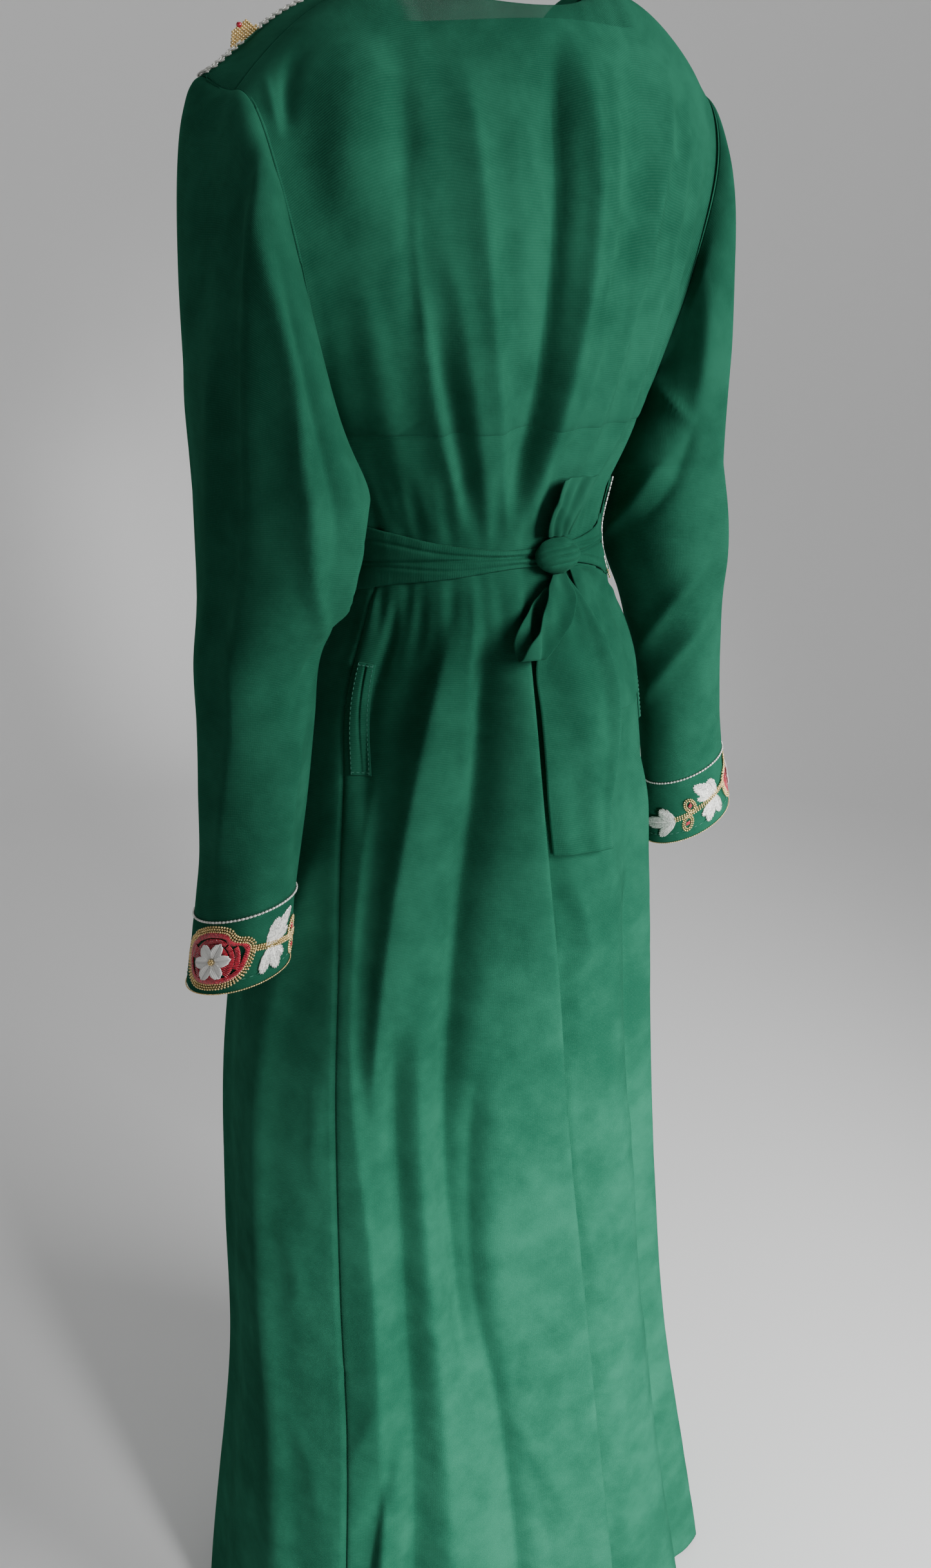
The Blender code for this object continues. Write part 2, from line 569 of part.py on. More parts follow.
def tie_layers(table, first, last, columns):
    angles = np.linspace(first, last, columns + 1)
    across = np.linspace(0, 1, TIE_ROWS + 1)
    top = smooth(angles, table, "top", TIE_COLUMNS)
    bottom = smooth(angles, table, "bottom", TIE_COLUMNS)
    heights = top[None, :] + (bottom - top)[None, :] * across[:, None]
    swell = TIE_EDGE + TIE_BULGE * np.sin(math.pi * across)
    thick = np.repeat((TIE_THICK * swell)[:, None], columns + 1, 1)
    grid = np.repeat(angles[None, :], TIE_ROWS + 1, 0)
    return laid_layers(grid, heights, np.full(grid.shape, LAID_GAP), thick)


def waist_panel_layers():
    angles = np.linspace(WAIST_PANEL_FIRST, WAIST_PANEL_LAST, WAIST_PANEL_COLUMNS + 1)
    levels = np.linspace(WAIST_PANEL_TOP, WAIST_PANEL_BOTTOM, WAIST_PANEL_ROWS + 1)
    grid, heights = np.meshgrid(angles, levels)
    return laid_layers(grid, heights, np.full(grid.shape, LAID_GAP), np.full(grid.shape, WAIST_PANEL_THICK))


def knot_layers():
    """A rounded lump over the crossing of the ties, with two soft creases."""
    line = np.linspace(-1, 1, KNOT_COUNT + 1)
    u, v = np.meshgrid(line, line)
    disc_x = u * np.sqrt(1 - v * v / 2)
    disc_y = v * np.sqrt(1 - u * u / 2)
    angles = KNOT_ANGLE + KNOT_HALF_ANGLE * disc_x
    heights = KNOT_Z + KNOT_HALF_HEIGHT * disc_y
    dome = np.sqrt(np.clip(1 - 0.97 * (disc_x ** 2 + disc_y ** 2), 0, 1))
    crease = 1 - KNOT_CREASE * np.cos(5 * disc_x + 2 * disc_y)
    return laid_layers(angles, heights, np.full(u.shape, KNOT_STAND), KNOT_EDGE + KNOT_DEPTH * dome * crease)


def strip_layers(table):
    """A strip along a table's rows, its wall square to its run."""
    marks = np.array(table, float)
    across = np.linspace(0, 1, STRIP_ACROSS + 1)
    z = np.repeat(marks[:, :1], STRIP_ACROSS + 1, 1)
    angles = marks[:, 1:2] + (marks[:, 2:3] - marks[:, 1:2]) * across
    swell = STRIP_SWELL * np.sin(math.pi * across)
    surface, normal = cloth_point(angles, z)
    middle = surface + normal * (marks[:, 3:4] + swell + STRIP_THICK / 2)[..., None]
    run = np.gradient(middle, axis=0)
    wide = np.gradient(middle, axis=1)
    square = unit(np.cross(run, wide))
    return posture(middle + square * STRIP_THICK / 2), posture(middle - square * STRIP_THICK / 2)


def welt_layers(side):
    """Pocket welt beside the side seam, on the back panel."""
    levels = np.array(WELT_LEVELS)
    spread = np.array(WELT_BESIDE)
    seam = body("seam_left" if side > 0 else "seam_right", levels)
    beside = seam[:, None] + spread[None, :]
    angles = beside if side > 0 else 180 - beside
    heights = np.repeat(levels[:, None], len(spread), 1)
    stand = WELT_STAND_LEFT if side > 0 else WELT_STAND_RIGHT
    return laid_layers(angles, heights, np.full(angles.shape, stand), np.full(angles.shape, WELT_THICK))


def main():
    for item in list(bpy.data.objects):
        bpy.data.objects.remove(item, do_unlink=True)
    for name, back, columns in (("back_panel", True, BACK_COLUMNS), ("front_panel", False, FRONT_COLUMNS)):
        build_solid(name, *panel_layers(back, columns), "emerald")
    for name, table, side in (("left", SLEEVE_LEFT, 1), ("right", SLEEVE_RIGHT, -1)):
        build_solid("sleeve_" + name, *sleeve_layers(table, side, CROWN_PUFF[name]), "emerald", wrap=True)
        build_solid("cuff_" + name, *cuff_layers(table, side, CUFF_FLOWERS[name]), "emerald", wrap=True)
        build_solid("pocket_welt_" + name, *welt_layers(side), "emerald")
    build_solid("waist_panel", *waist_panel_layers(), "emerald")
    build_solid("belt_tie_left", *tie_layers(TIE_LEFT, *TIE_SPANS["left"]), "emerald")
    build_solid("belt_tie_right", *tie_layers(TIE_RIGHT, *TIE_SPANS["right"]), "emerald")
    build_solid("knot", *knot_layers(), "emerald")
    for name, table in (("stub_end", STUB), ("bow_loop", BOW_LOOP), ("tail_long", LONG_TAIL), ("tail_wide", WIDE_TAIL)):
        build_solid(name, *strip_layers(table), "emerald")


main()
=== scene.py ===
"""Moroccan kaftan: cloth, ties, stitching and beadwork over the fitted solids.

Metres, +Z up, in the solids' own frame: the front faces -Y, the wearer's left is +X and the
origin is the middle between the shoulder-neck points. The body's cloth is laid out by an angle
round the wearer (0 the left side, 90 the back, 180 the right side, 270 the front) and by a row
(0 the shoulder, 1 the underarm, 2 the hem) or a height.
"""
import math

import bmesh
import bpy
import numpy as np
from mathutils import Matrix, Vector


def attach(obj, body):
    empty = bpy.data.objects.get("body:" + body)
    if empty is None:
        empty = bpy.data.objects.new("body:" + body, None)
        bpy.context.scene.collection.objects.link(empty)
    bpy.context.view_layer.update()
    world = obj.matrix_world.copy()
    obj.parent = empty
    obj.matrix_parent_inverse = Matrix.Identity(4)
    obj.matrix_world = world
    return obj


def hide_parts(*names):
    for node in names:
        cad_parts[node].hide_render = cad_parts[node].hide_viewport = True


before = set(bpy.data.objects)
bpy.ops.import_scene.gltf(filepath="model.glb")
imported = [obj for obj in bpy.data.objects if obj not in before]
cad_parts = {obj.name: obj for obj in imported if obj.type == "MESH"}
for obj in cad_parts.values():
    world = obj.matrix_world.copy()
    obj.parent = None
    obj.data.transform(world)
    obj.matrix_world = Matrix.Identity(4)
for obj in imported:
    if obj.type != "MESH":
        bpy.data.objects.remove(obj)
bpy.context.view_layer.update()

MM, CM = 0.001, 0.01

# Driving sizes, as in the solids
SEAM_GAP = 0.0003
SHOULDER_Z = -0.068
FRONT_RISE = 0.044
FRONT_SPREAD = 0.020
UNDERARM_Z = -0.300
HEM_Z = -1.435
NECK_HALF = 0.085
NECK_BACK_DEPTH = 0.060
NECK_FRONT_DEPTH = 0.070
NECK_BACK_DROP = 0.022
NECK_FRONT_DROP = 0.085
ARMHOLE_BACK = 0.055
ARMHOLE_FRONT = 0.062
SHOULDER_TILT = 0.090
TILT_END_Z = -0.380
UNDERARM_BLEND = (0.86, 1.03)
LAST_ROW = 2.2
CUFF_TILT_FROM_Z = -0.500

# Shares of the way down the armhole where the cloth has rounded over the shoulder and where the
# front's ridge ends, and how fast the lift of the neck edge dies away
SHOULDER_ROUND, RIDGE_END, LIFT_EASE = 0.55, 0.34, 1.3

# Cloth thickness and how the edges of a piece turn in at its seams
CLOTH = 0.0008
SEAM_TUCK = 0.0016
SEAM_ROUND = 0.0022

SECTION_COLUMNS = ("z", "centre_x", "centre_y", "left", "right", "back", "front", "seam_left", "seam_right")
SECTIONS = (
    (-0.068, 0.000, 0.024, 0.203, 0.197, 0.080, 0.090, 0, 0),
    (-0.115, 0.000, 0.018, 0.197, 0.190, 0.092, 0.105, 0, 0),
    (-0.180, 0.000, 0.010, 0.182, 0.172, 0.102, 0.115, 0, 0),
    (-0.240, 0.000, 0.004, 0.166, 0.158, 0.106, 0.119, 0, 0),
    (-0.300, 0.000, 0.000, 0.152, 0.143, 0.103, 0.120, 0, 0),
    (-0.350, 0.002, -0.002, 0.130, 0.122, 0.094, 0.112, 12, 8),
    (-0.390, 0.003, -0.003, 0.116, 0.115, 0.090, 0.104, 25, 15),
    (-0.430, 0.003, 0.000, 0.122, 0.124, 0.094, 0.104, 20, 18),
    (-0.500, 0.006, 0.000, 0.152, 0.156, 0.112, 0.115, 22, 20),
    (-0.560, 0.010, -0.002, 0.168, 0.168, 0.125, 0.122, 28, 22),
    (-0.680, 0.015, -0.006, 0.190, 0.177, 0.140, 0.135, 34, 25),
    (-0.820, 0.020, -0.010, 0.203, 0.191, 0.152, 0.150, 36, 28),
    (-1.000, 0.018, -0.010, 0.215, 0.206, 0.165, 0.160, 36, 28),
    (-1.150, 0.014, -0.008, 0.223, 0.220, 0.175, 0.170, 36, 28),
    (-1.300, 0.010, -0.006, 0.244, 0.242, 0.190, 0.185, 36, 28),
    (-1.435, 0.008, -0.005, 0.262, 0.264, 0.205, 0.200, 36, 28),
)

SLEEVE_COLUMNS = ("z", "x", "y", "radius_x", "radius_y")
SLEEVE_LEFT = (
    (-0.340, 0.197, 0.052, 0.053, 0.080),
    (-0.380, 0.203, 0.055, 0.050, 0.076),
    (-0.420, 0.212, 0.055, 0.046, 0.062),
    (-0.450, 0.219, 0.052, 0.044, 0.048),
    (-0.500, 0.223, 0.050, 0.042, 0.044),
    (-0.560, 0.229, 0.050, 0.040, 0.041),
    (-0.636, 0.240, 0.050, 0.038, 0.039),
    (-0.690, 0.249, 0.050, 0.039, 0.041),
)
SLEEVE_RIGHT = (
    (-0.340, -0.177, 0.030, 0.047, 0.048),
    (-0.380, -0.178, 0.030, 0.051, 0.054),
    (-0.420, -0.186, 0.026, 0.051, 0.052),
    (-0.450, -0.196, 0.022, 0.046, 0.047),
    (-0.500, -0.207, 0.020, 0.041, 0.043),
    (-0.560, -0.217, 0.020, 0.037, 0.040),
    (-0.636, -0.227, 0.020, 0.036, 0.038),
    (-0.690, -0.235, 0.020, 0.042, 0.042),
)
# Cuffs: height of the upper and lower edge, and how the band slopes along X and along Y
CUFF_LEFT = (-0.636, -0.692, -0.19, 0.13)
CUFF_RIGHT = (-0.616, -0.675, -0.48, 0.10)
CROWN_END_Z = -0.340
CROWN_BACK_PUFF, CROWN_FRONT_PUFF = 2.0, 0.4
CROWN_FALL, CROWN_ARRIVAL = 0.35, 0.8
CROWN_PUFF_LEFT, CROWN_PUFF_RIGHT = 0.32, 0.20
FLOWER_TURN_LEFT, FLOWER_TURN_RIGHT = 32, 18

# Folds of the body: the path as pairs of height in centimetres and angle from the top down, then
# in millimetres the soft width of each side and how far the cloth stands out (or in, when
# negative), and how sharp the crest is
BACK_FOLDS = (
    (((-5, 22), (-8, 18), (-10, 16)), 12, 4, 3, 2),
    (((-4, 35), (-6, 28), (-10, 20)), 5, 10, -4, 2),
    (((-3, 51), (-7, 46), (-12, 38), (-16, 36)), 20, 22, 6, 2),
    (((-4, 57), (-10, 54), (-16, 52), (-24, 50)), 9, 8, -6, 2),
    (((-11, 55), (-18, 52), (-26, 54), (-38, 62)), 9, 6, 6, 1.4),
    (((-22, 54), (-29, 60), (-38, 66)), 7, 8, -6, 2),
    (((-16, 59), (-25, 64), (-38, 70)), 9, 10, 5, 1.6),
    (((-6, 70), (-18, 70), (-31, 74), (-38, 78)), 12, 6, 7, 1.4),
    (((-8, 75), (-20, 76), (-31, 78)), 10, 10, -3, 2),
    (((-4, 91), (-16, 90), (-26, 87), (-37, 80)), 18, 6, -13, 1.6),
    (((-4, 96), (-14, 99), (-23, 96), (-38, 83)), 7, 14, 10, 1.6),
    (((-6, 107), (-14, 106), (-24, 102)), 8, 10, 4, 1.5),
    (((-5, 131), (-12, 127), (-24, 116), (-35, 100)), 18, 10, 7, 1.6),
    (((-8, 141), (-18, 138), (-28, 128), (-37, 112)), 12, 10, 5, 1.5),
    (((-12, 152), (-20, 150), (-30, 142), (-37, 128)), 10, 10, 4, 1.5),
    (((-23, 106), (-28, 99), (-31, 94)), 7, 7, 4, 1.5),
    (((-18, 34), (-26, 38), (-36, 44)), 16, 12, 4, 2),
)
SKIRT_FOLDS = (
    (((-60, 24), (-76, 13), (-99, 11), (-143, 20)), 30, 16, 9, 1.7),
    (((-42, 33), (-47, 31), (-60, 38)), 6, 12, -6, 1.5),
    (((-56, 38), (-78, 40), (-95, 45), (-120, 45), (-143, 46)), 26, 6, 8, 1.6),
    (((-74, 50), (-95, 52), (-143, 52)), 10, 22, -15, 1.6),
    (((-114, 47), (-127, 42), (-143, 40)), 16, 8, -12, 1.6),
    (((-44, 57), (-50, 53), (-59, 49.5), (-70, 47), (-82, 46)), 9, 24, 14, 1.6),
    (((-41, 63), (-52, 64), (-58, 66)), 7, 6, 6, 1.5),
    (((-44, 67), (-55, 68), (-65, 66), (-85, 64), (-108, 67)), 12, 12, -16, 1.6),
    (((-74, 56), (-90, 58), (-110, 60), (-143, 62)), 14, 10, 6, 1.8),
    (((-80, 71), (-100, 70), (-112, 74), (-143, 78)), 18, 10, -13, 1.5),
    (((-42, 79), (-59, 84), (-79, 91), (-102, 95), (-143, 97)), 34, 7, 18, 1.6),
    (((-44, 86), (-62, 91.5), (-79, 96.5), (-102, 100), (-143, 102)), 7, 16, -16, 1.5),
    (((-62, 112), (-90, 116), (-143, 119)), 26, 20, 9, 1.8),
    (((-66, 124), (-100, 126), (-143, 127)), 12, 10, -8, 1.6),
    (((-56, 134), (-90, 134), (-120, 133), (-143, 136)), 22, 10, 10, 1.6),
)
FRONT_FOLDS = (
    (((-46, 190), (-90, 188), (-143, 186)), 16, 24, 10, 1.7),
    (((-44, 215), (-80, 212), (-143, 210)), 20, 12, 12, 1.6),
    (((-50, 236), (-95, 236), (-143, 233)), 14, 22, 10, 1.7),
    (((-44, 258), (-85, 256), (-143, 258)), 22, 12, 13, 1.6),
    (((-48, 280), (-90, 284), (-143, 284)), 12, 20, 10, 1.7),
    (((-44, 303), (-80, 306), (-143, 309)), 20, 14, 12, 1.6),
    (((-55, 327), (-100, 333), (-143, 335)), 14, 22, 10, 1.7),
    (((-13, 236), (-24, 240), (-37, 252)), 14, 10, 6, 1.6),
    (((-15, 296), (-25, 294), (-37, 286)), 12, 14, 6, 1.6),
    (((-20, 214), (-28, 222), (-36, 236)), 10, 14, 4, 1.6),
    (((-20, 324), (-28, 317), (-36, 304)), 12, 10, 4, 1.6),
)
# Wrinkles and pressed storage creases of the body: the path as for the folds, then in
# millimetres the soft half-width and how far the cloth stands out or in
CREASES = (
    (((-106, 9), (-106.5, 24), (-107.5, 35), (-106, 46)), 5, -1.8),
    (((-102, 56), (-105, 62), (-108, 67)), 5, 2.2),
    (((-111, 79), (-110, 83), (-109, 91)), 7, 2.8),
    (((-111, 78), (-107, 79), (-103, 84)), 7, -2.6),
    (((-112, 76), (-120, 84), (-127, 90)), 8, 2.8),
    (((-118, 80), (-126, 83), (-136, 85)), 8, -2.2),
    (((-93, 74), (-89, 88)), 7, 2.4),
    (((-97, 77), (-95, 85)), 6, 2),
    (((-91, 93), (-96, 82)), 7, -2.2),
    (((-86, 76), (-91, 84), (-94, 90)), 7, 2.2),
    (((-100, 79), (-105, 88), (-110, 92)), 7, 2.2),
    (((-82, 100), (-87, 100), (-97, 102), (-106, 106)), 6, 3.4),
    (((-105, 98), (-108, 108)), 5, -2.6),
    (((-109, 100), (-114, 106), (-118, 101)), 7, 2.8),
    (((-120, 104), (-126, 109), (-133, 106)), 8, 2.6),
    (((-123, 48), (-124, 56), (-126, 64)), 6, 2.2),
    (((-80, 29), (-82, 31), (-87, 30), (-90, 32)), 6, 3.2),
    (((-93, 18), (-99, 24), (-103, 21)), 8, 2.4),
    (((-112, 16), (-118, 26), (-125, 30)), 8, 2.2),
    (((-117, 36), (-109, 46)), 7, 2.2),
    (((-130, 97), (-137, 110)), 7, 2.6),
    (((-54, 59), (-54.5, 64)), 4, -1.4),
    (((-64, 97), (-68, 101), (-72, 104), (-74, 98)), 7, 3.4),
    (((-74, 109), (-80, 113), (-86, 111)), 8, 2.8),
    (((-67, 94), (-71, 96), (-76, 94)), 5, 2.2),
    (((-88, 118), (-93, 124), (-100, 121)), 8, 2.4),
    (((-110, 119), (-116, 126), (-124, 123)), 8, 2.4),
    (((-31, 34), (-30, 42), (-29, 50)), 4, -1.4),
    (((-33, 88), (-35, 93), (-36, 99)), 4, 1.4),
    (((-90, 205), (-95, 218)), 7, 2.4),
    (((-105, 196), (-106, 212), (-105, 230)), 5, -1.8),
    (((-102, 240), (-109, 249), (-112, 246)), 8, 2.6),
    (((-120, 222), (-128, 231)), 8, 2.4),
    (((-86, 262), (-91, 274)), 7, 2.2),
    (((-106, 262), (-106.5, 280), (-105, 296)), 5, -1.8),
    (((-114, 290), (-122, 282), (-130, 287)), 8, 2.6),
    (((-95, 306), (-101, 314), (-107, 310)), 7, 2.4),
    (((-124, 318), (-131, 327)), 8, 2.2),
)
# How a fold fades at its ends, and the least gap at the hem that counts as an end
FOLD_FADE, FOLD_LEAD, OPEN_END = 0.06, 0.3, 0.02
CREASE_POWER, CREASE_END = 1.5, 0.02

# The ties hold the cloth in at the waist, and pull fine gathers into it above and below:
# height, waves round the body, their wander along Z and where they start
WAIST_Z = -0.395
WAIST_HOLD, WAIST_REACH = 0.75, 0.022
GATHER_WAVES = ((1.0, 23, 9, 0), (0.7, 37, -7, 40), (0.5, 61, 5, 110))
GATHER_HEIGHT, GATHER_REACH = 0.0009, 0.036
GATHER_ABOVE, GATHER_BELOW, GATHER_BELOW_SHARE = 0.022, 0.030, 0.8
TIE_HOLD, TIE_REACH = 0.9, 0.020

# Slow waves of hanging cloth: height, waves round the body, pace along Z, start, and a bend of
# that pace with its own pace
SLACK_WAVES = ((0.0012, 3, 7.0, 0.0, 0.6, 9), (0.0009, 7, -11.0, 1.7, 0.0, 0), (0.0007, 13, 5.0, 0.0, 2.0, 4))
SLEEVE_WAVES = ((0.0010, 2, 14, 1), (0.0007, 5, -23, 0))
# The folds die out toward the armhole, the shoulder seam and the ends of a sleeve
ARMHOLE_FLAT, SHOULDER_FLAT, SLEEVE_HOLD = (0.12, 0.42), 0.10, 0.16
# Angles beside a place whose folds a drawn tie bridges
BRIDGE_SHIFTS = (-7, -4.5, -2, 0, 2, 4.5, 7)

# Folds of the sleeves, as for the body but with a turn: 0 the outer side and 90 the back
SLEEVE_LEFT_FOLDS = (
    (((-10, 44), (-14, 41), (-23, 36), (-32, 34), (-40, 33), (-48, 42), (-58, 33), (-64, 32)), 7, 30, 7, 1.4),
    (((-15, 42), (-19, 54), (-24, 66), (-33, 72), (-40, 88), (-45, 134)), 12, 8, 6, 1.5),
    (((-16, 52), (-22, 70), (-30, 84), (-38, 98)), 8, 16, -6, 1.6),
    (((-34, 118), (-40, 122), (-44, 146)), 12, 8, 6, 1.5),
    (((-40, 150), (-45, 120), (-50, 92)), 8, 12, -6, 1.6),
    (((-48, 110), (-55, 104), (-62, 108)), 14, 8, 4, 1.6),
    (((-20, 10), (-32, 6), (-48, 2), (-60, 0)), 16, 8, 4, 1.6),
    (((-18, 215), (-30, 225), (-44, 240)), 12, 8, 5, 1.6),
    (((-22, 300), (-36, 310), (-52, 300)), 10, 14, 5, 1.6),
)
SLEEVE_RIGHT_FOLDS = (
    (((-14, 88), (-25, 97), (-31, 106)), 14, 7, 5, 1.5),
    (((-25, 152), (-28, 138), (-31, 107)), 7, 9, 5, 1.5),
    (((-33, 129), (-38, 174), (-41, 215)), 8, 10, 5, 1.5),
    (((-30, 100), (-35, 122), (-39, 160)), 8, 9, -4, 1.6),
    (((-42, 96), (-46, 135), (-51, 183)), 9, 9, 5, 1.5),
    (((-45, 75), (-50, 126), (-56, 190)), 9, 11, 5, 1.5),
    (((-20, 60), (-34, 66), (-46, 60)), 12, 10, 4, 1.6),
    (((-18, 10), (-34, 6), (-56, 2)), 14, 8, 4, 1.6),
    (((-22, 300), (-36, 310), (-52, 300)), 10, 14, 4, 1.6),
    (((-20, 225), (-32, 232), (-44, 240)), 12, 8, 4, 1.6),
)

# Waist ties on the back: height of the upper and lower edge against the angle
TIE_COLUMNS = ("z", "top", "bottom")
TIE_LEFT = (
    (12, -0.366, -0.420),
    (29, -0.373, -0.414),
    (54, -0.383, -0.409),
    (77, -0.389, -0.404),
    (97, -0.389, -0.403),
)
TIE_RIGHT = (
    (99, -0.388, -0.402),
    (115, -0.386, -0.406),
    (135, -0.380, -0.416),
    (146, -0.374, -0.424),
)
LAID_GAP = 0.0012
TIE_THICK = 0.0032
WAIST_PANEL_FIRST, WAIST_PANEL_LAST = 147, 368
WAIST_PANEL_TOP, WAIST_PANEL_BOTTOM = -0.345, -0.428
WAIST_PANEL_THICK = 0.0020

# Knot, and what hangs from it: height, the two edge angles and the stand-off
KNOT_ANGLE, KNOT_Z = 98.5, -0.3955
KNOT_HALF_ANGLE, KNOT_HALF_HEIGHT = 10.5, 0.0155
KNOT_STAND, KNOT_DEPTH = 0.0052, 0.0150
KNOT_OUTSIDE, KNOT_GROOVE = 0.0005, 0.0022
STRIP_COLUMNS = ("mark", "z", "left", "right", "stand")
STUB = (
    (-0.3795, 93, 104, 0.0085),
    (-0.3680, 92, 105, 0.0095),
    (-0.3520, 93, 108, 0.0090),
    (-0.3340, 94, 112, 0.0080),
)
BOW_LOOP = (
    (-0.4108, 94.5, 101, 0.0090),
    (-0.4180, 91, 100, 0.0130),
    (-0.4290, 87.5, 99, 0.0195),
    (-0.4460, 83, 96, 0.0225),
    (-0.4610, 77.5, 92, 0.0200),
    (-0.4720, 75.5, 89, 0.0155),
    (-0.4700, 75, 89, 0.0110),
    (-0.4560, 75, 90, 0.0085),
    (-0.4380, 80, 94, 0.0085),
    (-0.4190, 91, 98, 0.0083),
)
LONG_TAIL = (
    (-0.4114, 96.5, 103, 0.0050),
    (-0.4350, 95, 109, 0.0052),
    (-0.4550, 91, 112, 0.0054),
    (-0.4750, 88, 114, 0.0056),
    (-0.5100, 89, 115, 0.0058),
    (-0.5500, 90, 113, 0.0060),
    (-0.5850, 91, 109, 0.0060),
    (-0.6300, 93, 108, 0.0060),
)
WIDE_TAIL = (
    (-0.4074, 106, 114, 0.0030),
    (-0.4160, 107, 125, 0.0029),
    (-0.4350, 109, 136, 0.0029),
    (-0.4600, 110, 143, 0.0029),
    (-0.4850, 112, 141, 0.0030),
    (-0.5080, 113, 136, 0.0030),
    (-0.5250, 115, 129, 0.0030),
)
WELT_TOP, WELT_BOTTOM = -0.470, -0.552
WELT_FIRST, WELT_LAST = 2.5, 9.5
WELT_THICK = 0.0012


def hermite(t, start, leave, end, arrive):
    """Smooth run from start to end that leaves and arrives with the given slopes."""
    return ((2 * t ** 3 - 3 * t ** 2 + 1) * start + (t ** 3 - 2 * t ** 2 + t) * leave
            + (3 * t ** 2 - 2 * t ** 3) * end + (t ** 3 - t ** 2) * arrive)


def bell(away, width):
    """1 in the middle, falling softly to both sides."""
    return np.exp(-(away / width) ** 2)


def smooth(values, table, column, names):
    """Smooth curve through one column of a table, over its first column."""
    rows = sorted(table, key=lambda row: row[0])
    heights = np.array([row[0] for row in rows])
    marks = np.array([row[names.index(column)] for row in rows], float)
    slopes = np.gradient(marks, heights)
    at = np.clip(values, heights[0], heights[-1])
    cell = np.clip(np.searchsorted(heights, at) - 1, 0, len(heights) - 2)
    step = heights[cell + 1] - heights[cell]
    t = (at - heights[cell]) / step
    return hermite(t, marks[cell], step * slopes[cell], marks[cell + 1], step * slopes[cell + 1])


def body(column, z):
    return smooth(z, SECTIONS, column, SECTION_COLUMNS)


def fade(value, start, end):
    """0 at start, 1 at end, with a soft S between."""
    t = np.clip((value - start) / (end - start), 0, 1)
    return t * t * (3 - 2 * t)


def posture(points):
    """The shoulders lean: the wearer's right shoulder stands a little higher."""
    points = np.array(points, float)
    share = np.clip((points[..., 2] - TILT_END_Z) / -TILT_END_Z, 0, 1)
    points[..., 2] -= SHOULDER_TILT * points[..., 0] * share
    return points


def level_of(row):
    """Height at the side edge for a row value: 0 the shoulder, 1 the underarm, 2 the hem."""
    armhole = np.clip(row, 0, 1)
    share = (1 - np.cos(math.pi * armhole)) / 2
    upper = SHOULDER_Z + (UNDERARM_Z - SHOULDER_Z) * share
    lower = UNDERARM_Z + (HEM_Z - UNDERARM_Z) * (np.clip(row, 1, LAST_ROW) - 1)
    return np.where(row < 1, upper, lower), share


def row_of(z):
    return 1 + (np.asarray(z, float) - UNDERARM_Z) / (HEM_Z - UNDERARM_Z)


def body_point(angle, row):
    """Point of the unfolded cloth of the body."""
    angle, row = np.broadcast_arrays(np.asarray(angle, float), np.asarray(row, float))
    z, share = level_of(row)
    turn = np.radians(angle)
    across = np.cos(turn)
    out = np.abs(np.sin(turn))
    back = np.sin(turn) >= 0
    half = np.where(across > 0, body("left", z), body("right", z))
    depth = np.where(back, body("back", z), body("front", z))
    oval = 2 * np.sqrt(np.clip(share * (1 - share), 0, 1))
    edge = np.where(back, ARMHOLE_BACK, ARMHOLE_FRONT) * oval
    half = half + np.where(back, 0, FRONT_SPREAD * oval * (1 - share) ** 2 * np.clip(across, 0, 1))
    x = body("centre_x", z) + half * across
    rise = np.clip(share / SHOULDER_ROUND, 0, 1)
    rounding = np.sqrt(1 - (1 - rise) ** 2)
    inside = np.clip(1 - (x / NECK_HALF) ** 2, 0, 1)
    neck_y = np.where(back, NECK_BACK_DEPTH, NECK_FRONT_DEPTH) * inside
    distance = neck_y * (1 - rounding) + depth * rounding * out + edge * (1 - out) ** 2
    drop = np.where(back, NECK_BACK_DROP, NECK_FRONT_DROP) * inside
    outer = np.clip((np.abs(x) - NECK_HALF) / (half - NECK_HALF + 1e-6), 0, 1)
    top = -drop + SHOULDER_Z * outer ** 2
    lift = (top - SHOULDER_Z) * (1 - share) ** LIFT_EASE
    ridge = np.clip(share / RIDGE_END, 0, 1)
    lift += np.where(back, 0, (3 + across) * FRONT_RISE * ridge * (1 - ridge) * (1 - inside))
    y = body("centre_y", z) + np.where(back, 1, -1) * distance
    return np.stack([x, y, z + lift], -1)


def unit(vectors):
    return vectors / np.maximum(np.linalg.norm(vectors, axis=-1, keepdims=True), 1e-12)


def plain_normal(angle, row):
    nudge, step = 0.5, 0.004
    along = body_point(angle + nudge, row) - body_point(angle - nudge, row)
    above, below = [body_point(angle, np.clip(row + shift, 0, LAST_ROW)) for shift in (-step, step)]
    return unit(np.cross(below - above, along))


def body_normal(angle, row):
    """Outward direction of the unfolded cloth, eased across the underarm row."""
    angle, row = np.broadcast_arrays(np.asarray(angle, float), np.asarray(row, float))
    above = plain_normal(angle, np.minimum(row, UNDERARM_BLEND[0]))
    below = plain_normal(angle, np.maximum(row, UNDERARM_BLEND[1]))
    return unit(above + (below - above) * fade(row, *UNDERARM_BLEND)[..., None])


def in_metres(path, *sizes):
    """A path with its heights in centimetres and sizes in millimetres, all brought to metres."""
    return [[(z * CM, angle) for z, angle in path]] + [size * MM for size in sizes]


def fold_sum(folds, along, around, radius, end_z):
    """Height of a table's folds at a height and an angle, on a form of that radius."""
    total = np.zeros(np.shape(along))
    for *marks, power in folds:
        path, left, right, height = in_metres(*marks)
        top, bottom = path[0][0], path[-1][0]
        middle = smooth(along, path, "angle", ("z", "angle"))
        away = np.radians((around - middle + 180) % 360 - 180) * radius
        width = np.where(away < 0, left, right)
        run = min(FOLD_FADE, (top - bottom) / 3)
        ends = fade(along, top + FOLD_LEAD * run, top - run)
        if bottom > end_z + OPEN_END:
            ends = ends * fade(along, bottom - FOLD_LEAD * run, bottom + run)
        total += height * ends * np.exp(-np.abs(away / width) ** power)
    return total


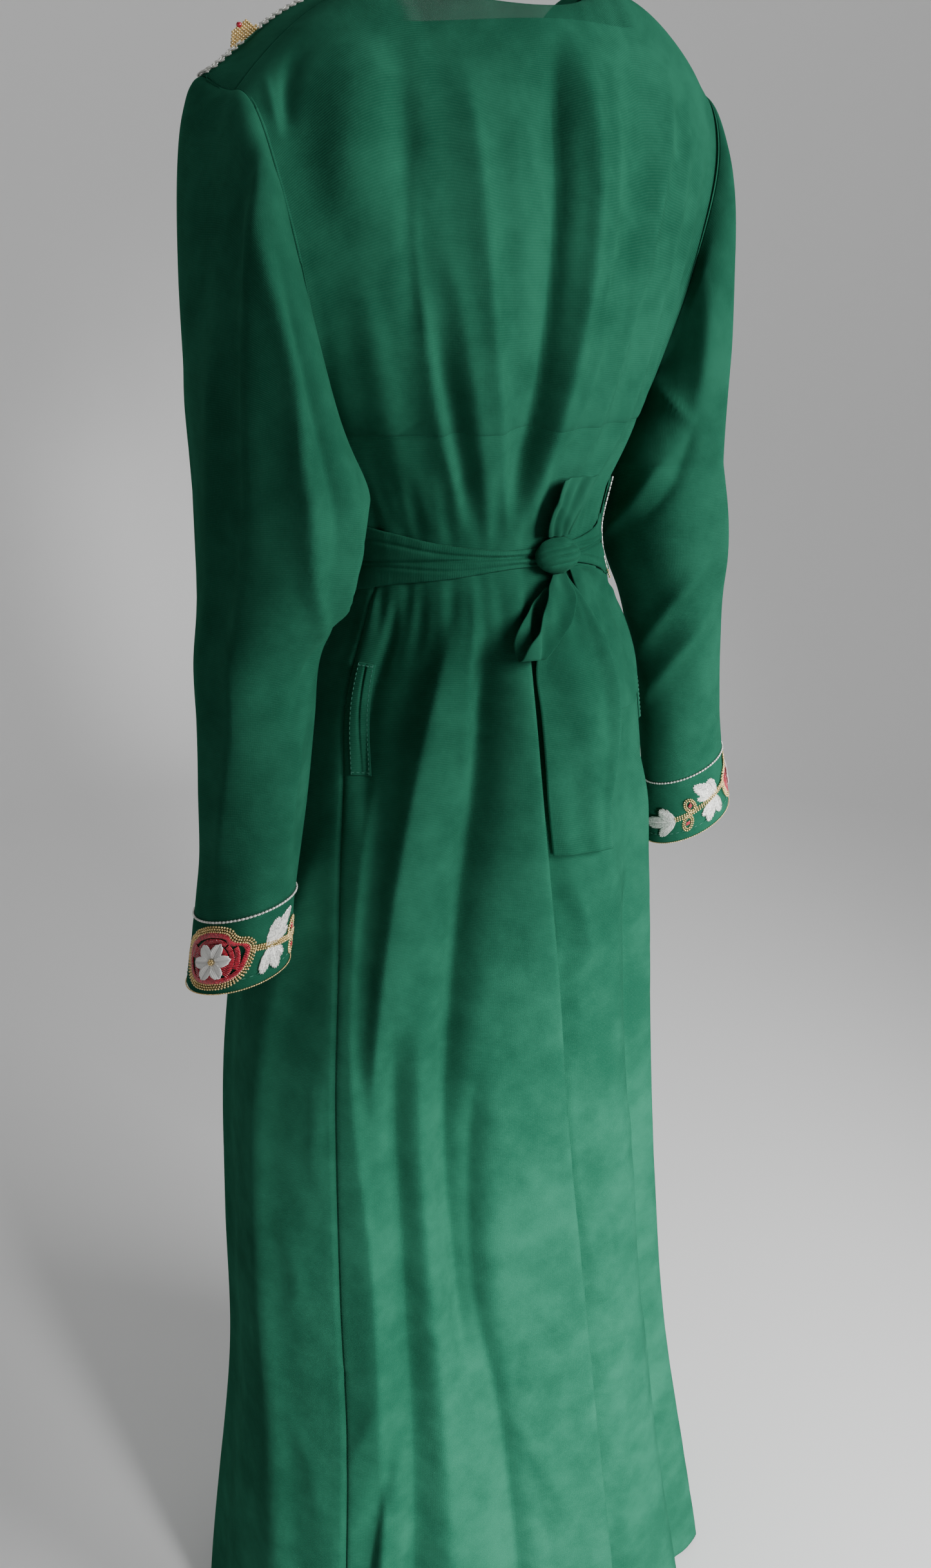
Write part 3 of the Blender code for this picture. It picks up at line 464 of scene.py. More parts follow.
def crease_sum(angle, z, radius):
    """Height of the wrinkles, which run any way over the body's cloth."""
    total = np.zeros(np.shape(z))
    for marks in CREASES:
        path, width, height = in_metres(*marks)
        nearest = np.full(np.shape(z), 1.0)
        share = np.zeros(np.shape(z))
        for step, ((z_a, angle_a), (z_b, angle_b)) in enumerate(zip(path, path[1:])):
            across = np.radians((angle - angle_a + 180) % 360 - 180) * radius
            reach = np.radians(angle_b - angle_a) * radius
            at = np.clip((across * reach + (z - z_a) * (z_b - z_a)) / (reach ** 2 + (z_b - z_a) ** 2), 0, 1)
            away = np.hypot(across - at * reach, z - z_a - at * (z_b - z_a))
            share = np.where(away < nearest, (step + at) / (len(path) - 1), share)
            nearest = np.minimum(away, nearest)
        ends = np.sqrt(np.sin(math.pi * np.clip(share, CREASE_END, 1 - CREASE_END)))
        total += height * np.exp(-(nearest / width) ** CREASE_POWER) * ends
    return total


def gathers(angle, z):
    """Fine upright gathers that the ties pull into the cloth above and below the waist."""
    wander = 6 * np.sin(z * 31 + 1.3) + 4 * np.sin(z * 74)
    ripple = sum(share * np.sin(np.radians(angle * waves + wander * bend + start))
                 for share, waves, bend, start in GATHER_WAVES)
    near = (bell(z - WAIST_Z - GATHER_ABOVE, GATHER_REACH)
            + GATHER_BELOW_SHARE * bell(z - WAIST_Z + GATHER_BELOW, GATHER_REACH))
    return GATHER_HEIGHT * ripple * near * (1 - TIE_HOLD * bell(z - WAIST_Z, TIE_REACH))


def slack(angle, z):
    """Slow uneven waves of hanging cloth."""
    a = np.radians(angle)
    return sum(height * np.sin(waves * a + pace * z + start + bend * np.sin(bend_pace * z))
               for height, waves, pace, start, bend, bend_pace in SLACK_WAVES)


def fold_height(angle, z, share):
    """How far the folds move the body's cloth out at an angle and height."""
    angle, z, share = np.broadcast_arrays(angle, z, share)
    radius = (body("left", z) + body("back", z)) / 2
    total = fold_sum(BACK_FOLDS + SKIRT_FOLDS + FRONT_FOLDS, z, angle, radius, HEM_Z) + slack(angle, z)
    total += crease_sum(angle, z, radius)
    waist = 1 - WAIST_HOLD * bell(z - WAIST_Z, WAIST_REACH)
    armhole = np.where(share < 1, fade(np.abs(np.sin(np.radians(angle))), *ARMHOLE_FLAT), 1)
    return (total * waist + gathers(angle, z)) * armhole * fade(share, 0.0, SHOULDER_FLAT)


def cloth_point(angle, z):
    """Folded outer surface below the underarm, or on the back above it, with its outward direction."""
    z = np.asarray(z, float)
    upper = np.arccos(np.clip(1 - 2 * (z - SHOULDER_Z) / (UNDERARM_Z - SHOULDER_Z), -1, 1)) / math.pi
    row = np.where(z < UNDERARM_Z, row_of(z), upper)
    base = body_point(angle, row)
    normal = body_normal(angle, row)
    height = fold_height(angle, base[..., 2], level_of(row)[1])
    return base + normal * height[..., None], normal


def bridged_point(angle, z):
    """Where a drawn tie lies: over the body's folds, bridging their valleys."""
    angle, z = np.broadcast_arrays(np.asarray(angle, float), np.asarray(z, float))
    base = body_point(angle, row_of(z))
    normal = body_normal(angle, row_of(z))
    heights = [fold_height(angle + shift, base[..., 2], 1.0) for shift in BRIDGE_SHIFTS]
    middle = (np.mean(heights, axis=0) + np.max(heights, axis=0)) / 2
    return base + normal * middle[..., None], normal


def cuff_values(side):
    return CUFF_LEFT if side > 0 else CUFF_RIGHT


def sleeve_table(side):
    return SLEEVE_LEFT if side > 0 else SLEEVE_RIGHT


def sleeve_ring(z, side, turn):
    """Point of the unfolded sleeve or cuff at a height; turn in radians."""
    table = sleeve_table(side)
    x, y, radius_x, radius_y = [smooth(z, table, column, SLEEVE_COLUMNS) for column in SLEEVE_COLUMNS[1:]]
    out_x, out_y = side * radius_x * np.cos(turn), radius_y * np.sin(turn)
    top, _, slope_x, slope_y = cuff_values(side)
    tilt = fade(z, CUFF_TILT_FROM_Z, top)
    return np.stack([x + out_x, y + out_y, z + tilt * (slope_x * out_x + slope_y * out_y)], -1)


def sleeve_base(reach, side, turn):
    """Unfolded sleeve: reach 0 to 1 is the crown from the armhole, 1 to 2 the arm down to the cuff."""
    half_turn = turn / math.pi
    row = np.where(half_turn <= 1, half_turn, 2 - half_turn)
    angle = np.where(half_turn <= 1, 0.001, -0.001) * side + (0.0 if side > 0 else 180.0)
    start = body_point(angle, row) + np.array([side * SEAM_GAP, 0, 0])
    end = sleeve_ring(np.full(np.shape(turn), CROWN_END_Z), side, turn)
    span = np.linalg.norm(end - start, axis=-1)[..., None]
    back_share = np.where(np.sin(turn) > 0, CROWN_BACK_PUFF, CROWN_FRONT_PUFF) * np.sin(turn)
    even = np.ones(np.shape(turn))
    leave = np.stack([side * even, back_share, -CROWN_FALL * even], -1)
    puff = CROWN_PUFF_LEFT if side > 0 else CROWN_PUFF_RIGHT
    t = np.clip(reach, 0, 1)[..., None]
    crown = hermite(t, start, puff * span * leave, end, span * np.array([0, 0, -CROWN_ARRIVAL]))
    z = CROWN_END_Z + (cuff_values(side)[0] - CROWN_END_Z) * np.clip(reach - 1, 0, 1)
    return np.where((reach < 1)[..., None], crown, sleeve_ring(z, side, turn))


def sleeve_point(reach, side, turn):
    """Folded sleeve surface."""
    reach, turn = np.broadcast_arrays(np.asarray(reach, float), np.asarray(turn, float))
    base = sleeve_base(reach, side, turn)
    step = 0.01
    before, after = [sleeve_base(reach, side, (turn + shift) % (2 * math.pi)) for shift in (-step, step)]
    above, below = [sleeve_base(np.clip(reach + shift, 0, 2), side, turn) for shift in (-step, step)]
    normal = unit(np.cross(below - above, after - before)) * side
    z = base[..., 2]
    radius = smooth(z, sleeve_table(side), "radius_y", SLEEVE_COLUMNS)
    folds = SLEEVE_LEFT_FOLDS if side > 0 else SLEEVE_RIGHT_FOLDS
    height = fold_sum(folds, z, np.degrees(turn), radius, -2.0)
    for size, waves, pace, start in SLEEVE_WAVES:
        height += size * np.sin(waves * turn + pace * z + start * side)
    hold = fade(reach, 0.0, SLEEVE_HOLD) * fade(reach, 2.0, 2.0 - SLEEVE_HOLD)
    return base + normal * (height * hold)[..., None]


def cuff_point(side, along, up):
    """Point on a cuff: along in metres from its flower toward the back, up in metres from its lower edge."""
    along, up = np.broadcast_arrays(np.asarray(along, float), np.asarray(up, float))
    top, bottom = cuff_values(side)[:2]
    flower = FLOWER_TURN_LEFT if side > 0 else FLOWER_TURN_RIGHT
    radius = smooth((top + bottom) / 2, sleeve_table(side), "radius_y", SLEEVE_COLUMNS)
    turn = math.radians(flower) + along / radius
    return posture(sleeve_ring(bottom + up, side, turn % (2 * math.pi)))


def cuff_frame(side, along, up):
    """Point of a cuff with its outward direction."""
    step = 0.0005
    point = cuff_point(side, along, up)
    tangent = unit(cuff_point(side, along + step, up) - cuff_point(side, along - step, up))
    rise = unit(cuff_point(side, along, up + step) - cuff_point(side, along, up - step))
    return point, unit(np.cross(tangent, rise)) * side


class Value:
    """A shader socket that adds Math nodes when it is used in an expression."""

    def __init__(self, tree, socket):
        self.tree = tree
        self.socket = socket

    def math(self, operation, *others):
        node = self.tree.nodes.new("ShaderNodeMath")
        node.operation = operation
        for place, item in enumerate((self,) + others):
            connect(self.tree, item, node.inputs[place])
        return Value(self.tree, node.outputs[0])

    def __add__(self, other):
        return self.math("ADD", other)

    __radd__ = __add__

    def __mul__(self, other):
        return self.math("MULTIPLY", other)

    __rmul__ = __mul__

    def __sub__(self, other):
        return self.math("SUBTRACT", other)

    def __rsub__(self, other):
        return (self * -1) + other

    def __truediv__(self, other):
        return self.math("DIVIDE", other)

    def __pow__(self, other):
        return self.math("POWER", other)


def connect(tree, item, socket):
    if isinstance(item, Value):
        tree.links.new(item.socket, socket)
    else:
        socket.default_value = item


class Finish:
    """One material: its node tree, and the Principled shader that everything feeds."""

    def __init__(self, name, **settings):
        self.material = bpy.data.materials.new(name)
        self.material.use_nodes = True
        self.tree = self.material.node_tree
        self.shader = self.tree.nodes["Principled BSDF"]
        for socket, value in settings.items():
            self.set(socket.replace("_", " "), value)

    def set(self, socket, value):
        connect(self.tree, value, self.shader.inputs[socket])

    def add(self, kind, settings=None, output=0, **sockets):
        """A node of that type, with its settings made first and then its sockets filled."""
        node = self.tree.nodes.new(kind)
        for name, value in (settings or {}).items():
            setattr(node, name, value)
        for name, value in sockets.items():
            connect(self.tree, value, node.inputs[name.replace("_", " ")])
        return Value(self.tree, node.outputs[output])

    def blend(self, share, first, second):
        """Colour between two colours."""
        node = self.tree.nodes.new("ShaderNodeMix")
        node.data_type = "RGBA"
        connect(self.tree, share, node.inputs[0])
        connect(self.tree, first, node.inputs[6])
        connect(self.tree, second, node.inputs[7])
        return Value(self.tree, node.outputs[2])

    def parts(self, vector):
        """The three numbers of a vector."""
        node = self.tree.nodes.new("ShaderNodeSeparateXYZ")
        connect(self.tree, vector, node.inputs[0])
        return [Value(self.tree, output) for output in node.outputs]

    def place(self):
        """Coordinates in the piece's own frame."""
        return self.add("ShaderNodeTexCoord", None, 3)

    def cloth_map(self):
        """Coordinates on the flat cloth, in metres."""
        return self.add("ShaderNodeUVMap", {"uv_map": "cloth"})

    def noise(self, vector, scale, detail=2.0, rough=0.5):
        return self.add("ShaderNodeTexNoise", Vector=vector, Scale=scale, Detail=detail, Roughness=rough)

    def lines(self, along, pitch, wander):
        """Fine ribs of that pitch, from 0 to 1."""
        return (along * (2 * math.pi / pitch) + wander).math("SINE") * 0.5 + 0.5

    def ramp(self, value, low, high):
        """0 below low, 1 above high."""
        settings = {"interpolation_type": "SMOOTHSTEP"}
        return self.add("ShaderNodeMapRange", settings, 0, Value=value, From_Min=low, From_Max=high)

    def bump(self, height, distance, strength=1.0, under=None):
        sockets = {"Height": height, "Distance": distance, "Strength": strength}
        if under is not None:
            sockets["Normal"] = under
        return self.add("ShaderNodeBump", None, 0, **sockets)


EMERALD_DEEP = (0.0090, 0.070, 0.040, 1.0)
EMERALD_LIGHT = (0.0180, 0.118, 0.070, 1.0)
EMERALD_WORN = (0.045, 0.180, 0.118, 1.0)
RIB_PITCH = 0.0013
YARN_PITCH = 0.0006
SATIN_RIB_PITCH = 0.0011


def georgette(name, sheer=None):
    """Emerald crepe cloth with a fine cross rib, mottled sheen and worn fold lines."""
    finish = Finish(name, Sheen_Weight=0.07, Sheen_Roughness=0.36, Sheen_Tint=(0.25, 0.85, 0.55, 1.0),
                    Specular_IOR_Level=0.0)
    place = finish.place()
    cloth = finish.cloth_map()
    across, along = finish.parts(cloth)[:2]
    crepe = finish.noise(cloth, 900.0, 2.0, 0.6)
    wander = finish.noise(cloth, 55.0, 2.0)
    rib = finish.lines(along, RIB_PITCH, wander * 2.2 + crepe * 0.9)
    yarn = finish.lines(across, YARN_PITCH, crepe * 1.5)
    mottle = finish.noise(place, 7.0, 4.0, 0.55)
    cloud = finish.noise(place, 34.0, 3.0, 0.6)
    shade = finish.ramp(mottle * 0.6 + cloud * 0.4, 0.34, 0.68)
    colour = finish.blend(shade, EMERALD_DEEP, EMERALD_LIGHT)
    thread = rib * 0.6 + yarn * 0.4
    colour = finish.blend(finish.ramp(thread * 0.5 + crepe * 0.5, 0.45, 0.85) * 0.28, colour, EMERALD_WORN)
    finish.set("Base Color", colour)
    finish.set("Roughness", 0.56 - shade * 0.09 + crepe * 0.06)
    weave = finish.bump(rib * 0.7 + yarn * 0.3 + crepe * 0.6, 0.00016, 0.8)
    finish.set("Normal", finish.bump(cloud, 0.0016, 0.55, weave))
    if sheer is not None:
        sheer(finish, place, thread)
    return finish.material


LINING_EDGE_Z, LINING_EDGE_SOFT = -0.031, 0.0007
SHEER_ALPHA = 0.62


def sheer_neck(finish, place, thread):
    """The cloth is sheer above the edge of its lining, at the back of the neck."""
    x, _, z = finish.parts(place)
    level = z + x * (SHOULDER_TILT * 0.9)
    above = finish.ramp(level, LINING_EDGE_Z - LINING_EDGE_SOFT, LINING_EDGE_Z + LINING_EDGE_SOFT)
    beside = finish.ramp(x * x, NECK_HALF ** 2 * 1.5, NECK_HALF ** 2 * 1.1)
    finish.set("Alpha", 1 - above * beside * (1 - (thread * 0.25 + SHEER_ALPHA)))


def tinted(colour, factor):
    return tuple(min(1.0, factor * c) for c in colour[:3]) + (1.0,)


def speckled(name, colours, spot_scale, spot_ends, roughness, spread, **settings):
    """A finish whose colour and gloss vary in fine spots."""
    finish = Finish(name, **settings)
    spots = finish.noise(finish.place(), spot_scale, 1.0)
    share = finish.ramp(spots, *spot_ends) if spot_ends else spots
    finish.set("Base Color", finish.blend(share, *colours))
    finish.set("Roughness", roughness + spots * spread)
    return finish.material


def metal_beads(name, colour, roughness, metallic):
    return speckled(name, (tinted(colour, 0.6), colour), 700.0, (0.35, 0.6), roughness, 0.12,
                    Metallic=metallic, Specular_IOR_Level=0.6)


def glass_beads(name, colour, light):
    return speckled(name, (colour, light), 520.0, (0.35, 0.65), 0.16, 0.14,
                    Coat_Weight=0.8, Coat_Roughness=0.08, Specular_IOR_Level=0.7)


def satin(name):
    """White satin of the petals, with its fine ribs running out from the middle."""
    finish = Finish(name, Sheen_Weight=0.4, Sheen_Roughness=0.3, Specular_IOR_Level=0.5)
    cloth = finish.cloth_map()
    wander = finish.noise(cloth, 300.0, 2.0)
    rib = finish.lines(finish.parts(cloth)[0], SATIN_RIB_PITCH, wander * 3)
    finish.set("Base Color", finish.blend(rib * 0.4, (0.86, 0.85, 0.82, 1), (0.72, 0.72, 0.70, 1)))
    finish.set("Roughness", 0.42 + wander * 0.12)
    finish.set("Normal", finish.bump(rib + wander, 0.0003, 0.7))
    return finish.material


def thread_finish(name, colour):
    return speckled(name, (colour, tinted(colour, 1.8)), 1500.0, None, 0.6, 0.1,
                    Sheen_Weight=0.3, Specular_IOR_Level=0.3)


CLOTH_FINISH = georgette("emerald_georgette")
BACK_FINISH = georgette("emerald_georgette_sheer_neck", sheer_neck)
GOLD = metal_beads("gold_bead_glaze", (0.93, 0.70, 0.33, 1.0), 0.18, 0.7)
SILVER = metal_beads("silver_bead_glaze", (0.90, 0.90, 0.85, 1.0), 0.16, 0.35)
RED = glass_beads("red_bead_glass", (0.32, 0.004, 0.020, 1.0), (0.62, 0.02, 0.05, 1.0))
SATIN = satin("white_satin_petal")
THREAD = thread_finish("emerald_stitch_thread", (0.030, 0.16, 0.11, 1.0))


def keep(piece, slot, *nodes):
    """Rides a finished piece on the one body and hides the solids it stands for; the slot is not used."""
    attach(piece, "root")
    if nodes:
        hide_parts(*nodes)
    return piece


def new_piece(name, bm, material):
    mesh = bpy.data.meshes.new(name)
    bm.to_mesh(mesh)
    bm.free()
    mesh.shade_smooth()
    mesh.materials.append(material)
    piece = bpy.data.objects.new(name, mesh)
    bpy.context.scene.collection.objects.link(piece)
    return piece


# Cloth edges closer than this are joined where a grid closes on itself
JOIN_DISTANCE = 0.00002
# Shares of a panel's and a sleeve's grid rows that lie above the underarm, and how the flat
# cloth's coordinates run along them
PANEL_UPPER, SLEEVE_UPPER = 0.30, 0.48
PANEL_ROUND, PANEL_ARMHOLE = 0.17, 0.30
SLEEVE_ROUND, SLEEVE_CROWN, SLEEVE_ARM = 0.27, 0.28, 0.30
# More columns near the middle of a panel, and how far its side edges keep off the seam's angle
EDGE_SPREAD, EDGE_NUDGE = 0.012, 0.001
CUFF_ROUND, CUFF_CLOTH = 0.25, 0.0011
CUFF_WAVES = ((0.0007, 3, 60), (0.0004, 7, -130))
CUFF_PINCH, CUFF_PINCH_REACH = 0.0010, 0.0018
# Grooves round a cuff: height over its lower edge, depth and reach
CUFF_GROOVES = ((0.0, 0.0006, 0.0012), (0.0085, 0.0005, 0.0009))
# Pleats along a tie: place across it, depth and how they drift along it
TIE_PLEATS = ((0.26, 0.0016, 0.8), (0.50, 0.0020, -0.9), (0.74, 0.0015, 0.5))
TIE_SINK, TIE_PLEAT_REACH, TIE_DRIFT, TIE_TYPICAL_WIDTH = 0.0006, 0.045, 0.10, 0.03
WAIST_PANEL_LENGTH, WAIST_EDGE = 0.42, 0.0022
RUCK_HEIGHT = 0.0009
STRIP_CLOTH, STRIP_LIFT, STRIP_LENGTH = 0.0009, 0.0007, 0.24
WELT_WIDTH, WELT_CLOTH, WELT_SINK = 0.018, 0.0006, 0.0006
WELT_SLIT, WELT_SLIT_AT, WELT_SLIT_REACH = 0.0016, 0.52, 0.05


def edge_distance(across, up, width, height):
    """Distance from the nearest edge of a flat piece."""
    return np.minimum(np.minimum(up, 1 - up) * height, np.minimum(across, 1 - across) * width)


def full_turn(across, side):
    """Turn round a sleeve or cuff for a share of its width, both ends at 0."""
    turn = 2 * math.pi * (across if side > 0 else 1 - across)
    return np.where((across <= 1e-6) | (across >= 1 - 1e-6), 0, turn)


def seam_angle(side, z):
    return body("seam_left" if side > 0 else "seam_right", z)


def cloth(name, columns, rows, place, material=None, closed=False, wall=CLOTH, flip=False):
    """A sheet of cloth: a grid whose points a place function moves, given across and up from 0 to 1."""
    bm = bmesh.new()
    bmesh.ops.create_grid(bm, x_segments=columns, y_segments=rows, size=0.5)
    flat = np.array([v.co[:2] for v in bm.verts]) + 0.5
    points, marks = place(flat[:, 0], flat[:, 1])
    layer = bm.loops.layers.uv.new("cloth")
    for face in bm.faces:
        for loop in face.loops:
            loop[layer].uv = marks[loop.vert.index]
    for vert, point in zip(bm.verts, points):
        vert.co = point
    if flip:
        bmesh.ops.reverse_faces(bm, faces=bm.faces)
    if closed:
        bmesh.ops.remove_doubles(bm, verts=bm.verts, dist=JOIN_DISTANCE)
    piece = new_piece(name, bm, material or CLOTH_FINISH)
    if wall:
        shell = piece.modifiers.new("wall", "SOLIDIFY")
        shell.thickness = wall
        shell.offset = -1
        shell.use_even_offset = False
    return piece


def panel(name, back, columns, rows):
    """The back or front of the body, from hem to shoulder, its side edges turned in at the seams."""
    lower = 1 - PANEL_UPPER

    def place(across, up):
        row = np.where(up < lower, 2 - up / lower, (1 - up) / PANEL_UPPER)
        z, share = level_of(row)
        seam_left, seam_right = [np.where(row <= 1, 0, seam_angle(side, z)) for side in (1, -1)]
        if back:
            first, last = seam_left, 180 - seam_right
        else:
            first, last = 180 - seam_right, 360 + seam_left
        even = across + EDGE_SPREAD * np.sin(2 * math.pi * across)
        angle = first + (last - first) * even
        nudge = EDGE_NUDGE * np.where(even < 0.5, 1, -1)
        base = body_point(angle + nudge, row)
        normal = body_normal(angle, row)
        height = fold_height(angle, base[:, 2], share)
        radius = (body("left", z) + body("back", z)) / 2
        edge = np.radians((last - first) * np.minimum(even, 1 - even)) * radius
        height -= SEAM_TUCK * bell(edge, SEAM_ROUND)
        points = posture(base + normal * height[:, None])
        length = np.where(row < 1, UNDERARM_Z + (1 - row) * PANEL_ARMHOLE, z)
        return points, np.stack([np.radians(angle) * PANEL_ROUND, length], -1)

    return cloth(name, columns, rows, place, BACK_FINISH if back else None)


def sleeve(name, side, columns, rows):
    lower = 1 - SLEEVE_UPPER

    def place(across, up):
        reach = np.where(up > lower, (1 - up) / SLEEVE_UPPER, 1 + (lower - up) / lower)
        points = posture(sleeve_point(reach, side, full_turn(across, side)))
        length = np.where(reach < 1, reach * SLEEVE_CROWN, SLEEVE_CROWN + (reach - 1) * SLEEVE_ARM)
        return points, np.stack([across * SLEEVE_ROUND, -length], -1)

    return cloth(name, columns, rows, place, closed=True)


def cuff(name, side, columns, rows):
    """A straight band with a turned lower edge."""
    top, bottom = cuff_values(side)[:2]

    def place(across, up):
        turn = full_turn(across, side)
        height = (top - bottom) * up
        points = sleeve_ring(bottom + height, side, turn)
        out = unit(points - sleeve_ring(bottom + height, side, turn + math.pi))
        wave = sum(size * np.sin(waves * turn + pace * height) for size, waves, pace in CUFF_WAVES)
        pinch = CUFF_PINCH * bell(top - bottom - height, CUFF_PINCH_REACH)
        grooves = sum(depth * bell(height - at, reach) for at, depth, reach in CUFF_GROOVES)
        points = points + out * (wave * np.sin(math.pi * up) - pinch - grooves)[:, None]
        return posture(points), np.stack([across * CUFF_ROUND, height], -1)

    return cloth(name, columns, rows, place, closed=True, wall=CUFF_CLOTH)


def tie(name, table, first, last, columns):
    """A gathered tie lying round the back of the waist, with long folds inside it."""
    def place(across, up):
        angle = first + (last - first) * across
        top = smooth(angle, table, "top", TIE_COLUMNS)
        bottom = smooth(angle, table, "bottom", TIE_COLUMNS)
        z = bottom + (top - bottom) * up
        surface, normal = bridged_point(angle, z)
        wide = (top - bottom) / TIE_TYPICAL_WIDTH
        drift = TIE_DRIFT * np.sin(across * 5 + 1)
        round_up = np.clip(np.sin(math.pi * up), 0, 1) ** 0.5
        pleats = sum(depth * bell((up - at - drift * lean) * wide, TIE_PLEAT_REACH)
                     for at, depth, lean in TIE_PLEATS)
        full = TIE_THICK * (0.92 + 0.08 * np.sin(up * 17 + across * 9))
        stand = LAID_GAP - TIE_SINK + (full - pleats) * round_up
        marks = np.stack([z, np.radians(angle) * 0.11], -1)
        return posture(surface + normal * stand[:, None]), marks

    return cloth(name, columns, 44, place)


def waist_band(name, columns, rows):
    """The front waist panel, with turned edges."""
    def place(across, up):
        angle = WAIST_PANEL_FIRST + (WAIST_PANEL_LAST - WAIST_PANEL_FIRST) * across
        z = WAIST_PANEL_BOTTOM + (WAIST_PANEL_TOP - WAIST_PANEL_BOTTOM) * up
        surface, normal = cloth_point(angle, z)
        edge = edge_distance(across, up, WAIST_PANEL_LENGTH, WAIST_PANEL_TOP - WAIST_PANEL_BOTTOM)
        stand = LAID_GAP + WAIST_PANEL_THICK * (1 - 0.8 * bell(edge, WAIST_EDGE))
        ruck = RUCK_HEIGHT * np.sin(up * 19 + 4 * np.sin(across * 13)) * fade(edge, 0.0, 0.02)
        marks = np.stack([np.radians(angle) * 0.12, z], -1)
        return posture(surface + normal * (stand + ruck)[:, None]), marks

    return cloth(name, columns, rows, place)


def strip(name, table, columns, rows, wave):
    """A flat strip of the tie along a table's rows, with slow waves across it."""
    marks_z = [(index / (len(table) - 1),) + row for index, row in enumerate(table)]

    def place(across, up):
        at = 1 - up
        z, left, right, stand = [smooth(at, marks_z, column, STRIP_COLUMNS) for column in STRIP_COLUMNS[1:]]
        angle = left + (right - left) * across
        surface, normal = cloth_point(angle, z)
        points = surface + normal * (stand + STRIP_LIFT + wave(across, at))[:, None]
        width = np.radians(right - left) * 0.10
        return posture(points), np.stack([across * width, -at * STRIP_LENGTH], -1)

    return cloth(name, columns, rows, place, wall=STRIP_CLOTH)


def welt(name, side):
    """Pocket welt: a narrow folded strip beside the side seam, top-stitched round its edge."""
    def place(across, up):
        z = WELT_BOTTOM + (WELT_TOP - WELT_BOTTOM) * up
        beside = seam_angle(side, z) + WELT_FIRST + (WELT_LAST - WELT_FIRST) * across
        angle = beside if side > 0 else 180 - beside
        surface, normal = cloth_point(angle, z)
        edge = edge_distance(across, up, WELT_WIDTH, WELT_TOP - WELT_BOTTOM)
        slit = WELT_SLIT * bell(across - WELT_SLIT_AT, WELT_SLIT_REACH) * fade(edge, 0.0, 0.004)
        stand = WELT_SINK + WELT_THICK * fade(edge, 0.0, 0.0016) - slit
        return posture(surface + normal * stand[:, None]), np.stack([across * WELT_WIDTH, z], -1)

    return cloth(name, 20, 60, place, wall=WELT_CLOTH, flip=side < 0)


def knot(name):
    """The knot: one wrap of cloth over the crossing, drawn into slanting pleats."""
    def place(across, up):
        u, v = 2 * across - 1, 2 * up - 1
        disc_x = u * np.sqrt(1 - v * v / 2)
        disc_y = v * np.sqrt(1 - u * u / 2)
        angle, z = KNOT_ANGLE + KNOT_HALF_ANGLE * disc_x, KNOT_Z + KNOT_HALF_HEIGHT * disc_y
        surface, normal = cloth_point(angle, z)
        dome = np.sqrt(np.clip(1 - 0.98 * (disc_x ** 2 + disc_y ** 2), 0, 1))
        slant = disc_y * 3.1 - disc_x * 1.0 + 0.25 * np.sin(disc_x * 3)
        pleat = np.abs(np.sin(slant * 2.2)) ** 0.6
        groove = KNOT_GROOVE * bell(disc_y - 0.62 + 0.25 * disc_x, 0.13)
        stand = KNOT_OUTSIDE + KNOT_STAND + (KNOT_DEPTH * (0.86 + 0.14 * pleat) - groove) * dome
        return posture(surface + normal * stand[:, None]), np.stack([across * 0.04, up * 0.05], -1)

    return cloth(name, 70, 70, place, wall=STRIP_CLOTH)


def unit_bead(segments, rings, radius, length):
    """A small round or long bead along X, as a mesh that copies are added from."""
    bm = bmesh.new()
    bmesh.ops.create_uvsphere(bm, u_segments=segments, v_segments=rings, radius=1.0,
                              matrix=Matrix.Rotation(math.pi / 2, 4, "Y"))
    for vert in bm.verts:
        x, y, z = vert.co
        vert.co = (x * length / 2, y * radius, z * radius)
    mesh = bpy.data.meshes.new("bead")
    bm.to_mesh(mesh)
    bm.free()
    return mesh


def unit_bugle(radius, length):
    """A six-sided glass tube along X with eased ends."""
    bm = bmesh.new()
    bmesh.ops.create_cone(bm, cap_ends=True, segments=6, radius1=radius, radius2=radius, depth=length,
                          matrix=Matrix.Rotation(math.pi / 2, 4, "Y"))
    rims = [edge for edge in bm.edges if abs(edge.verts[0].co.x - edge.verts[1].co.x) < 1e-6]
    bmesh.ops.bevel(bm, geom=rims, offset=radius * 0.45, offset_type="OFFSET", segments=1, profile=0.5,
                    affect="EDGES", material=-1)
    mesh = bpy.data.meshes.new("bugle")
    bm.to_mesh(mesh)
    bm.free()
    return mesh


def place_copies(bm, mesh, points, runs, outs):
    """Adds a copy of a small mesh at each point, its X along the run and its Z outward."""
    for point, run, out in zip(points, runs, outs):
        run = Vector(run).normalized()
        out = Vector(out)
        out = (out - run * out.dot(run)).normalized()
        side = out.cross(run)
        matrix = Matrix((run, side, out)).transposed().to_4x4()
        matrix.translation = Vector(point)
        copy = mesh.copy()
        copy.transform(matrix)
        bm.from_mesh(copy)
        bpy.data.meshes.remove(copy)


